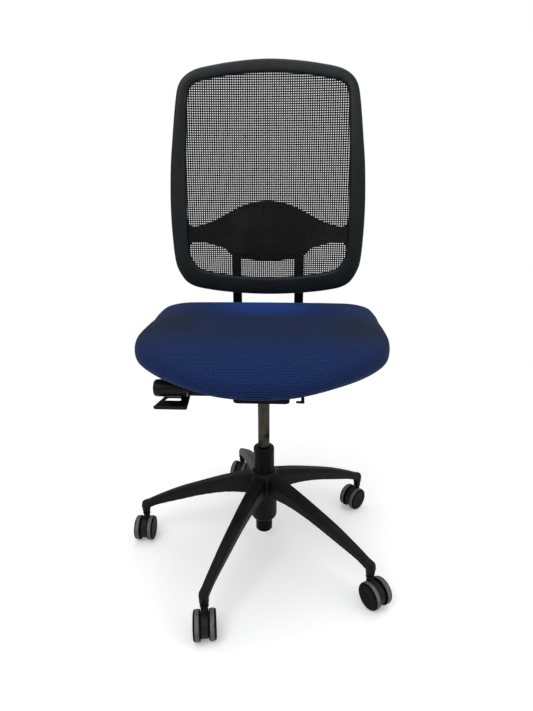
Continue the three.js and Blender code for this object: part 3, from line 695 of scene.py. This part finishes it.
def spring_clip():
    """A split ring of flat wire."""
    section = ((5.4, 45.7), (8.8, 45.7), (9, 45.9), (9, 47.1), (8.8, 47.3), (5.4, 47.3))
    rings = []
    for k in range(65):
        a = radians(25 + 310 * k / 64)
        rings.append([(r * cos(a), r * sin(a), z) for r, z in section])
    return mesh_from("spring_clip", [lofted(rings)])


piece("spring_clip", spring_clip(), "bright_steel", "spindle", ["retaining_clip"])

# ---------------------------------------------------------------- casters

WHEEL_FACE = [
    (0, 20.9), (4.3, 20.9), (4.3, 8.3), (9, 8.3), (9, 9.4), (24, 9.4), (24.6, 8.3),
    (28.2, 8.3), (29.3, 9.3), (29.3, 10.7), (26.4, 10.7), (26.4, 19.8), (29.3, 19.8),
    (29.2, 21), (27.6, 22.9), (24.8, 23.5), (9.4, 23.1), (8.6, 22.6), (7.8, 23.1), (0, 23.4),
]
TREAD = [
    (26.7, 11), (29.3, 11), (29.9, 11.7), (30, 13.2), (30, 17.2), (29.9, 18.8), (29.3, 19.5),
    (26.7, 19.5),
]


def caster_housing():
    side = []
    for k in range(49):
        a = radians(-148 + 296 * k / 48 + 90)
        side.append((-TRAIL + 25 * cos(a), AXLE_HEIGHT + 25 * sin(a)))
    side = [(y, max(z, 13.0)) for y, z in side]
    shells = [prism_x(side, -7.8, 7.8)]
    shells.append(turned(rounded(
        [(0, 34), (7.8, 34), (7.8, 64.5), (9.5, 66.4), (9.5, 68.7), (0, 68.7)], 1,
    ), 40))
    shells.append(slab((-5.5, -16, 40), (5.5, 2, 61)))
    return fused(mesh_from("caster_fork", shells), 0.8, 4)


housing_mesh = caster_housing()
housing_mesh.materials.append(FORK_GREY)
face_mesh = mesh_from("wheel_face", [turned(rounded(WHEEL_FACE, 0.7), 72, "X")])
face_mesh.materials.append(WHEEL_BLACK)
tread_mesh = mesh_from("wheel_tyre", [turned(rounded(TREAD, 0.4, closed=True), 72, "X")])
stem_mesh = mesh_from("caster_pin", [turned(rounded([
    (0, 48), (4, 48), (4, 69.5), (5.5, 69.5), (5.5, 84), (4.9, 85), (5.5, 86), (5.5, 90.5),
    (0, 90.5),
], 0.4), 40)])
axle_mesh = mesh_from("caster_shaft", [turned(rounded(
    [(0, -20.5), (3.4, -20.5), (4, -19.8), (4, 19.8), (3.4, 20.5), (0, 20.5)], 0.3,
), 40, "X")])

for k, (place_name, heading) in enumerate(zip(PLACES, HEADINGS)):
    angle = radians(FIRST_ARM + 72 * k)
    foot = Matrix.Translation((CIRCLE * cos(angle), CIRCLE * sin(angle), 0))
    foot = TO_FRAME @ foot @ Matrix.Rotation(radians(heading), 4, "Z")
    axle = foot @ Matrix.Translation((0, -TRAIL, AXLE_HEIGHT))
    body = f"caster_{place_name}"
    piece(f"fork_{place_name}", housing_mesh, "base_nylon", body,
          [f"caster_housing_{place_name}"], foot)
    piece(f"pin_{place_name}", stem_mesh, "bright_steel", body,
          [f"caster_stem_{place_name}"], foot)
    piece(f"shaft_{place_name}", axle_mesh, "bright_steel", body,
          [f"caster_axle_{place_name}"], axle)
    for side, turn in (("a", pi), ("b", 0)):
        hub = axle @ Matrix.Rotation(turn, 4, "Z")
        wheel = f"{place_name}_{side}"
        piece(f"wheel_{wheel}", face_mesh, "base_nylon", f"wheel_{wheel}",
              [f"wheel_disc_{wheel}"], hub)
        piece(f"tyre_{wheel}", tread_mesh, "tread_rubber", f"wheel_{wheel}",
              [f"wheel_tread_{wheel}"], hub)

# ---------------------------------------------------------------- mechanism

KNOB_Y, KNOB_Z = -62, 447


def tension_knob():
    grip = [
        (0, -238.4), (12, -238.7), (15.5, -238.9), (18.4, -236.5), (19.5, -231.5), (19.5, -176),
        (18.9, -174.5), (18.9, -173), (19.5, -171.5), (19.5, -166), (18.5, -165), (0, -165),
    ]
    shells = [turned(rounded(grip, 2.2), 96, "X", (0, KNOB_Y, KNOB_Z))]
    shaft = [(0, -166), (6, -166), (6, 57), (5.4, 58), (0, 58)]
    shells.append(turned(rounded(shaft, 0.6), 48, "X", (0, KNOB_Y, KNOB_Z)))
    return mesh_from("tension_grip", shells)


piece("tension_grip", tension_knob(), "control_plastic", "tension_knob", ["tension_knob"])


def coil_spring():
    rings = []
    for k in range(6 * 40 + 1):
        a = 2 * pi * k / 40
        x = -50 + 100 * k / 240
        out = np.array([0, cos(a), sin(a)])
        ahead = np.array([100 / 240 * 40 / (2 * pi), -10.5 * sin(a), 10.5 * cos(a)])
        ahead /= np.linalg.norm(ahead)
        up = np.cross(ahead, out)
        centre = np.array([x, KNOB_Y, KNOB_Z]) + 10.5 * out
        rings.append([
            centre + 1.5 * (cos(b) * out + sin(b) * up) for b in np.linspace(0, 2 * pi, 13)[:-1]
        ])
    return mesh_from("coil_spring", [lofted(rings)])


piece("coil_spring", coil_spring(), "bright_steel", frame["nodes"]["tension_spring"]["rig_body"],
      ["tension_spring"])


def lever_line():
    return curve_through(
        [(-33, 446), (-36.5, 433), (-48, 421), (-70, 417), (-94, 414.5)], spacing=1.5,
    )


def height_lever():
    """A drooping paddle with a finger slot and a rolled front, on a round shaft."""
    line = lever_line()
    steps = np.linalg.norm(np.diff(line, axis=0), axis=1)
    length = np.concatenate([[0], np.cumsum(steps)])
    full = length[-1]

    def at(s):
        y = float(np.interp(s, length, line[:, 0]))
        z = float(np.interp(s, length, line[:, 1]))
        ahead = np.array([
            np.interp(s + 1, length, line[:, 0]) - np.interp(s - 1, length, line[:, 0]),
            np.interp(s + 1, length, line[:, 1]) - np.interp(s - 1, length, line[:, 1]),
        ])
        ahead /= max(np.linalg.norm(ahead), 1e-6)
        return y, z, -ahead[1], ahead[0]

    def place(x, s, depth):
        y, z, ny, nz = at(s)
        return (x, y + ny * depth, z + nz * depth)

    def along(y):
        return float(np.interp(-y, -line[:, 0], length))

    outline = rounded([
        (-165, 0), (-161, full), (-234, full), (-232, along(-82)), (-219, along(-44)), (-218, 0),
    ], 6, closed=True, steps=6)
    slot = rounded([
        (-180, along(-67)), (-219, along(-67)), (-213, along(-53)), (-183, along(-53)),
    ], 3.5, closed=True, steps=6)
    loops = [curve_through(np.array(loop), spacing=2.5, closed=True) for loop in (outline, slot)]
    shells = [plate(
        loops, place, rolled(-2.5, 1.6, 1), rolled(2.5, 1.6, -1), edge_steps(1.6), pitch=3,
    )]
    roll = [(0, -235), (3, -235), (5, -232), (5, -164), (3, -161), (0, -161)]
    shells.append(turned(rounded(roll, 1.5), 40, "X", (0, -94, 414.5)))
    shaft = [(0, -217), (6, -217), (6, -26), (0, -26)]
    shells.append(turned(rounded(shaft, 1), 40, "X", (0, -33, 446)))
    section = [(y, z) for y, z in ((-36, 447), (-27, 473), (-12, 477.6), (6, 477.6), (6, 482.2),
                                   (-14, 482.2), (-30, 477), (-38, 452))]
    shells.append(prism_x(rounded(section, 1.5, closed=True), -32, -26))
    shells.append(slab((-31, -5, 477.4), (5, 6, 482)))
    return fused(mesh_from("lift_paddle", shells), 0.75, 3)


piece("lift_paddle", height_lever(), "control_plastic", "height_lever", ["height_lever"])


def lock_lever():
    line = curve_through([(-40, 456), (-66, 450), (-92, 441), (-106, 437)], spacing=2)
    section = rounded([(85, -3.2), (92, -3.2), (92, 3.2), (85, 3.2)], 1.6, closed=True)
    shells = [swept(line, section)]
    lip = rounded([(0, 74), (2.6, 74), (3.2, 92), (0, 92)], 1.2)
    shells.append(turned(lip, 24, "X", (0, -106, 437)))
    shaft = [(0, 30), (5, 30), (5, 92), (0, 92)]
    shells.append(turned(rounded(shaft, 0.8), 40, "X", (0, -40, 456)))
    return fused(mesh_from("lock_blade", shells), 0.7, 3)


piece("lock_blade", lock_lever(), "control_plastic", "tilt_lock_lever", ["tilt_lock_lever"])

for name, node, y, z, radius, end in (
    ("seat_pivot_rod", "seat_pivot_shaft", -88, 468, 5, 76),
    ("back_pivot_rod", "back_pivot_shaft", 30, 456, 6, 80),
):
    groove = radius - 0.6
    profile = [
        (0, -end), (radius - 1, -end), (radius, 1 - end), (radius, 3 - end),
        (groove, 3.3 - end), (groove, 4.3 - end), (radius, 4.6 - end), (radius, end - 4.6),
        (groove, end - 4.3), (groove, end - 3.3), (radius, end - 3), (radius, end - 1),
        (radius - 1, end), (0, end),
    ]
    turned_piece(name, profile, "bright_steel", frame["nodes"][node]["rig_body"], node, corner=0.2,
                 sides=48, axis="X", centre=(0, y, z))

for node, voxel, look in (
    ("mechanism_housing", 0.0014, "black_steel"),
    ("seat_carrier", 0.0013, "black_steel"),
    ("back_yoke", 0.0013, "black_steel"),
):
    carried = frame["nodes"][node]
    remesh = carried.modifiers.new("cast_skin", "REMESH")
    remesh.mode = "VOXEL"
    remesh.voxel_size = voxel
    remesh.use_smooth_shade = True
    smooth = carried.modifiers.new("cast_edges", "SMOOTH")
    smooth.factor = 0.5
    smooth.iterations = 4
    carried.data.materials.clear()
    carried.data.materials.append(LOOKS[look])

# ---------------------------------------------------------------- seat

SEAT_HALF_PLAN = (
    (0, -283), (88, -272), (158, -238), (212, -192), (252, -136), (268, -75), (272, 0),
    (272, 80), (271, 140), (260, 184), (228, 206), (162, 212), (0, 213),
)
SEAT_CENTRE = -40
SEAT_UNDERSIDE = 508.4
PAN_SHARE = 0.76


def seat_plan(spacing=6):
    left = [(-x, y) for x, y in SEAT_HALF_PLAN[-2:0:-1]]
    return curve_through([*SEAT_HALF_PLAN, *left], spacing=spacing, closed=True)


def seat_top(y):
    return 579 - 0.00095 * max(0, -90 - y) ** 2 + 0.0005 * max(0, y - 60) ** 2


def seat_edge(x, y):
    return 523 - 15 * exp(-((y + 283) ** 2) / 3200 - x * x / 30000)


def seat_shell(shrink):
    """The cushion's skin, drawn in by shrink mm."""
    rings = []
    plan = seat_plan()
    levels = (
        (0.8, lambda x, y: SEAT_UNDERSIDE),
        (0.9, lambda x, y: 0.5 * (SEAT_UNDERSIDE + seat_edge(x, y)) - 3),
        (0.955, seat_edge), (0.993, lambda x, y: seat_edge(x, y) + 11),
        (1, lambda x, y: 0.5 * (seat_edge(x, y) + seat_top(y))),
        (0.988, lambda x, y: seat_top(y) - 12), (0.95, lambda x, y: seat_top(y) - 3.5),
        (0.78, lambda x, y: seat_top(y)), (0.45, lambda x, y: seat_top(y) - 2),
        (0.15, lambda x, y: seat_top(y) - 2),
    )
    columns = []
    for x, y in plan:
        reach = hypot(x, y - SEAT_CENTRE)
        column = []
        for scale, height in levels:
            scale = scale * (reach - shrink) / reach
            spot = (x * scale, SEAT_CENTRE + (y - SEAT_CENTRE) * scale)
            column.append((*spot, height(*spot) - shrink * (scale < 0.96 and scale > 0.2)
                           * (height(*spot) > 545)))
        columns.append(curve_through(column, steps=5))
    for k in range(len(columns[0])):
        rings.append([column[k] for column in columns])
    return lofted(rings)


# The cover's simulation: frames, pressure, the cloth's stiffness, and the furthest that a point
# may move, in metres.
CLOTH_FRAMES, CLOTH_PRESSURE, CLOTH_STIFFNESS, SWELL_LIMIT = 16, 0.6, 40, 0.006


def cushion():
    start = applied(
        mesh_from("seat_pad", [seat_shell(0.5)]), ("REMESH", {"mode": "VOXEL", "voxel_size": 5.5}),
        ("SMOOTH", {"factor": 0.5, "iterations": 2}),
    )
    start.transform(Matrix.Scale(0.001, 4))
    pad = bpy.data.objects.new("pad", start)
    bpy.context.scene.collection.objects.link(pad)
    rest = np.array([v.co for v in start.vertices])
    cloth = pad.modifiers.new("Cloth", "CLOTH")
    cloth.settings.quality = 6
    cloth.settings.mass = 0.3
    cloth.settings.tension_stiffness = CLOTH_STIFFNESS
    cloth.settings.compression_stiffness = CLOTH_STIFFNESS
    cloth.settings.shear_stiffness = 8
    cloth.settings.bending_stiffness = 2
    cloth.settings.use_pressure = True
    cloth.settings.uniform_pressure_force = CLOTH_PRESSURE
    cloth.settings.effector_weights.gravity = 0
    cloth.point_cache.frame_start = 1
    cloth.point_cache.frame_end = CLOTH_FRAMES
    scene = bpy.context.scene
    for number in range(1, CLOTH_FRAMES + 1):
        scene.frame_set(number)
    graph = bpy.context.evaluated_depsgraph_get()
    swollen = bpy.data.meshes.new_from_object(pad.evaluated_get(graph))
    scene.frame_set(1)
    bpy.data.objects.remove(pad)
    moved = np.array([v.co for v in swollen.vertices]) - rest
    far = np.linalg.norm(moved, axis=1)
    moved *= np.where(far > SWELL_LIMIT, SWELL_LIMIT / np.maximum(far, 1e-9), 1)[:, None]
    print("cushion swelling, mm:", (far.mean() * 1000).round(2), (far.max() * 1000).round(2))
    place = (rest + moved) * 1000
    place[:, 2] = np.maximum(place[:, 2], SEAT_UNDERSIDE)
    swollen.vertices.foreach_set("co", place.astype(np.float32).ravel())
    swollen.update()
    result = applied(swollen, ("SMOOTH", {"factor": 0.5, "iterations": 3}),
                     ("SUBSURF", {"levels": 1, "render_levels": 1}))
    tidy_mesh(result, 80)
    return result


def cover_map(mesh):
    """Lays the cover flat: distance from the middle over the top and down the sides."""
    layer = mesh.uv_layers.new(name="cover")
    spots = []
    for vertex in mesh.vertices:
        x, y, z = vertex.co
        reach = hypot(x, y - SEAT_CENTRE) or 1e-6
        drop = max(0.0, seat_top(y) - z)
        stretch = (reach + drop) / reach
        if z < 520:
            stretch = (reach + 60) / reach
        spots.append((x * stretch * 0.001, (y - SEAT_CENTRE) * stretch * 0.001))
    for loop in mesh.loops:
        layer.data[loop.index].uv = spots[loop.vertex_index]


seat_mesh = cushion()
cover_map(seat_mesh)
seat = piece("seat_pad", seat_mesh, "seat_fabric", "seat", ["seat_cushion"])


def seat_pan():
    """The moulded pan: a rounded tray with a rim and ribs below."""
    plan = seat_plan(8)
    deep = SEAT_CENTRE + PAN_SHARE * (plan[:, 1] - SEAT_CENTRE)
    outline = np.stack([PAN_SHARE * plan[:, 0], deep], axis=1)

    def place(x, y, depth):
        return (x, y, depth)

    def under(distance):
        rim = 500 if distance < 7 else 503.6
        return rim + (1.5 * (1 - min(distance / 1.5, 1)) if distance < 7 else 0)

    shells = [plate([outline], place, under, rolled(508, 1.5, -1),
                    edge_steps(1.5, 4, 6.8, 7.4, 9), pitch=14)]
    for x in (-140, -28, 28, 140):
        shells.append(slab((x - 1.5, -190, 500.6), (x + 1.5, 112, 504)))
    for y in (-150, -130):
        shells.append(slab((-150, y - 1.5, 500.6), (150, y + 1.5, 504)))
    return mesh_from("seat_tray", shells, 30)


piece("seat_tray", seat_pan(), "base_nylon", "seat", ["seat_pan"])

# ---------------------------------------------------------------- back


BAR_SIDE, BAR_REAR, BAR_LEVEL, BAR_BEND = 81.5, 239, 456, 30


def upright(x):
    """A flat bar that runs back from the mechanism and turns up behind the seat."""
    bend = [
        (BAR_REAR - BAR_BEND + BAR_BEND * cos(radians(a)),
         BAR_LEVEL + BAR_BEND + BAR_BEND * sin(radians(a)))
        for a in range(-90, 1, 6)
    ]
    low = [(116, BAR_LEVEL), (160, BAR_LEVEL)]
    high = [(BAR_REAR, 560), (BAR_REAR, 700), (BAR_REAR, 790)]
    path = [np.array(p) for p in [*low, *bend, *high]]
    section = rounded([(x - 12, -3.5), (x + 12, -3.5), (x + 12, 3.5), (x - 12, 3.5)], 2.2,
                      closed=True, steps=5)
    return mesh_from("bar", [swept(path, section)], 40)


for side, x in (("right", -BAR_SIDE), ("left", BAR_SIDE)):
    node = f"back_upright_{side}"
    piece(f"bar_{side}", upright(x), "black_steel", frame["nodes"][node]["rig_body"], [node])

BACK_OUTLINE = (
    (0, 602.5), (50, 604), (100, 608), (150, 615), (188, 624.5), (208, 637), (221, 656),
    (230, 678), (234, 705), (236, 745), (237, 790), (236.5, 835), (234.5, 880), (231, 930),
    (226, 975), (221, 1020), (216, 1060), (211, 1087), (204.5, 1102), (194, 1114.5),
    (172, 1128), (122, 1140), (62, 1148.5), (0, 1152),
)
UPPER_WINDOW = (
    (0, 836), (32, 833), (66, 823), (100, 806), (133, 789), (166, 778), (184, 775), (195, 780),
    (199, 794), (199, 838), (198, 880), (196.5, 930), (194.5, 975), (192.5, 1020), (190, 1060),
    (187, 1083), (181, 1094), (170, 1102), (148, 1108), (100, 1117), (50, 1122), (0, 1123.5),
)
LOWER_WINDOW = (
    (0, 646), (68, 649), (95, 652), (149, 661), (176, 671), (189, 687), (197, 706), (198, 722),
    (189, 735), (168, 737), (135, 729), (112, 722), (80, 712), (0, 706),
)
RING_WINDOW = (*LOWER_WINDOW[:8], (199, 760), *UPPER_WINDOW[8:])
CARRIER = (
    (0, 686), (45, 689), (72, 694), (95, 702), (108, 716), (113, 737), (113, 765), (106, 779),
    (90, 790), (60, 799), (0, 803),
)


def whole(half, spacing=4.5):
    left = [(-x, z) for x, z in half[-2:0:-1]]
    return curve_through([*half, *left], spacing=spacing, closed=True)


def back_surface(x, z):
    return 212 + 0.00025 * (z - 790) ** 2 - 18 * (x / 237) ** 2


def on_back(x, z, depth):
    return (x, back_surface(x, z) + depth, z)


def crowned_rear(distance):
    """The frame's rear: a rounded back to each rail."""
    t = min(distance / 9, 1)
    return 16 - 9 * (1 - sqrt(max(0, 1 - (1 - t) ** 2)))


frame_shell = plate(
    [whole(BACK_OUTLINE), whole(UPPER_WINDOW), whole(LOWER_WINDOW)], on_back,
    rolled(0.9, 1, 1), crowned_rear, [0.4, 1.0, 2.6, 4.8, 9], pitch=10,
)
piece("back_rim", mesh_from("back_rim", [frame_shell], 40), "back_shell", "backrest",
      ["back_frame"])


def bezel_front(distance):
    t = min(distance / 6, 1)
    return -9 + 6 * (1 - sqrt(max(0, 1 - (1 - t) ** 2))) - 0.6 * min(max(distance - 6, 0) / 10, 1)


bezel_shell = plate(
    [whole(BACK_OUTLINE), whole(RING_WINDOW)], on_back, bezel_front, rolled(-0.9, 0.6, -1),
    [0.35, 0.8, 1.7, 3.2, 6, 11], pitch=10,
)
piece("front_bezel", mesh_from("front_bezel", [bezel_shell], 40), "back_shell", "backrest",
      ["back_bezel"])


def on_carrier(x, z, depth):
    return (x, 232.5 + depth, z)


def carrier_rear(distance):
    return 18 - 4 * (1 - sqrt(max(0, 1 - (1 - min(distance / 4, 1)) ** 2)))


carrier_shell = plate(
    [whole(CARRIER)], on_carrier, rolled(0, 2.5, 1), carrier_rear, [0.35, 1.2, 2.5, 4, 8], pitch=9,
)
piece("slide_housing", mesh_from("slide_housing", [carrier_shell], 40), "base_nylon", "backrest",
      ["back_carrier"])

# ---------------------------------------------------------------- netting

PITCH = 5.3
YARN = (3.0, 0.6)
NET_INSET = 9
BACK_HALF_WIDTH, BACK_HALF_HEIGHT, BACK_MIDDLE = 237, 270, 880.5


def netting():
    """A square net of flat yarns that pass over and under one another."""
    across, upward = 1 - NET_INSET / BACK_HALF_WIDTH, 1 - NET_INSET / BACK_HALF_HEIGHT
    outline = whole([
        (x * across, BACK_MIDDLE + (z - BACK_MIDDLE) * upward) for x, z in BACK_OUTLINE
    ])
    width, thick = YARN
    section = [
        (-0.5 * width, 0), (-0.3 * width, -0.5 * thick), (0.3 * width, -0.5 * thick),
        (0.5 * width, 0), (0.3 * width, 0.5 * thick), (-0.3 * width, 0.5 * thick),
    ]
    shells = []
    ring = np.roll(outline, -1, axis=0)
    low, high = outline.min(0), outline.max(0)
    for axis in (0, 1):
        other = 1 - axis
        first = int(np.ceil(low[axis] / PITCH)) + 1
        last = int(np.floor(high[axis] / PITCH)) - 1
        for number in range(first, last + 1):
            at = number * PITCH
            a, b = outline[:, axis] - at, ring[:, axis] - at
            cross = (a > 0) != (b > 0)
            t = a[cross] / (a[cross] - b[cross])
            ends = outline[cross, other] + t * (ring[cross, other] - outline[cross, other])
            start, end = ends.min(), ends.max()
            inner = np.arange(np.ceil(start / PITCH + 0.3), np.floor(end / PITCH - 0.3) + 1)
            if len(inner) < 2:
                continue
            stations = [start, *(inner * PITCH), end]
            lifts = [0.0, *(0.3 * (-1) ** (inner + number + axis)), 0.0]
            rings = []
            for along, lift in zip(stations, lifts):
                line = []
                for side, depth in section:
                    spot = (at + side, along) if axis == 0 else (along, at + side)
                    line.append(on_back(*spot, depth + lift))
                rings.append(line)
            shells.append(lofted(rings))
    x, z = outline[:, 0], outline[:, 1]
    area = abs(np.sum(x * np.roll(z, -1) - np.roll(x, -1) * z)) / 2 * 1e-6
    return shells, float(area)


net_shells, net_area = netting()
net_mesh = mesh_from("netting", net_shells, 60)
net = piece("netting", net_mesh, "back_netting", "backrest", ["back_mesh"])

# ---------------------------------------------------------------- stage

floor_mesh = bpy.data.meshes.new("floor")
floor_mesh.from_pydata([(-30, -30, 0), (30, -30, 0), (30, 30, 0), (-30, 30, 0)], [], [(0, 1, 2, 3)])
floor = bpy.data.objects.new("floor", floor_mesh)
bpy.context.scene.collection.objects.link(floor)
pale = Look("pale_floor", Roughness=0.9, Specular_IOR_Level=0.1)
pale.link(pale.mix(pale.noise(1.5, 3), (0.93, 0.93, 0.93, 1), (0.97, 0.97, 0.97, 1)), "Base Color")
# The floor runs out to plain white away from the chair, and is lifted a little near it.
seen = pale.node("LightPath").outputs["Is Camera Ray"]
far = pale.node("VectorMath", {0: pale.place}, operation="LENGTH").outputs["Value"]
far = pale.math("MULTIPLY", pale.ramp(far, 0.6, 2.2), seen)
glow = pale.node("Emission", {"Color": (1, 1, 1, 1), "Strength": 1.0}).outputs[0]
near_glow = pale.math("MULTIPLY", seen, 0.24)
near_glow = pale.node("Emission", {"Color": (1, 1, 1, 1), "Strength": near_glow}).outputs[0]
near = pale.node("AddShader", {0: pale.shader.outputs[0], 1: near_glow}).outputs[0]
floor_look = pale.node("MixShader", {0: far, 1: near, 2: glow}).outputs[0]
pale.tree.links.new(floor_look, pale.tree.nodes["Material Output"].inputs["Surface"])
floor_mesh.materials.append(pale.material)

world = bpy.data.worlds.new("studio")
bpy.context.scene.world = world
world.use_nodes = True
sky = world.node_tree
shown = sky.nodes.new("ShaderNodeLightPath").outputs["Is Camera Ray"]
strength = sky.nodes.new("ShaderNodeMapRange")
sky.links.new(shown, strength.inputs["Value"])
strength.inputs["To Min"].default_value = 0.5
strength.inputs["To Max"].default_value = 1.0
sky.nodes["Background"].inputs["Color"].default_value = (1, 1, 1, 1)
sky.links.new(strength.outputs["Result"], sky.nodes["Background"].inputs["Strength"])
bpy.context.scene.view_settings.view_transform = "Standard"


def soft_light(name, place, target, size, power):
    data = bpy.data.lights.new(name, "AREA")
    data.shape = "SQUARE"
    data.size = size
    data.energy = power
    lamp = bpy.data.objects.new(name, data)
    bpy.context.scene.collection.objects.link(lamp)
    lamp.location = place
    aim = Vector(target) - Vector(place)
    lamp.rotation_euler = aim.to_track_quat("-Z", "Y").to_euler()


soft_light("key", (-0.9, -1.7, 2.7), (0, 0, 0.4), 1.6, 28)
soft_light("fill", (2.2, -1.2, 2.0), (0, 0, 0.4), 1.8, 12)
soft_light("top", (0.1, 0.4, 3.0), (0, 0, 0.3), 2.4, 34)

right = Vector((0.99887, 0.04763, 0))
ahead = Vector((-0.0452, 0.9480, -0.3150)).normalized()
up = right.cross(ahead)
tilt = radians(-0.128)
right, up = right * cos(tilt) + up * sin(tilt), up * cos(tilt) - right * sin(tilt)
view = Matrix((right, up, -ahead)).transposed().to_4x4()
view.translation = Vector((0.08118, -1.082205, 0.8629))
camera_data = bpy.data.cameras.new("camera")
camera_data.lens = 25.736
camera_data.sensor_width = 36
camera = bpy.data.objects.new("camera", camera_data)
bpy.context.scene.collection.objects.link(camera)
camera.matrix_world = view
bpy.context.scene.camera = camera
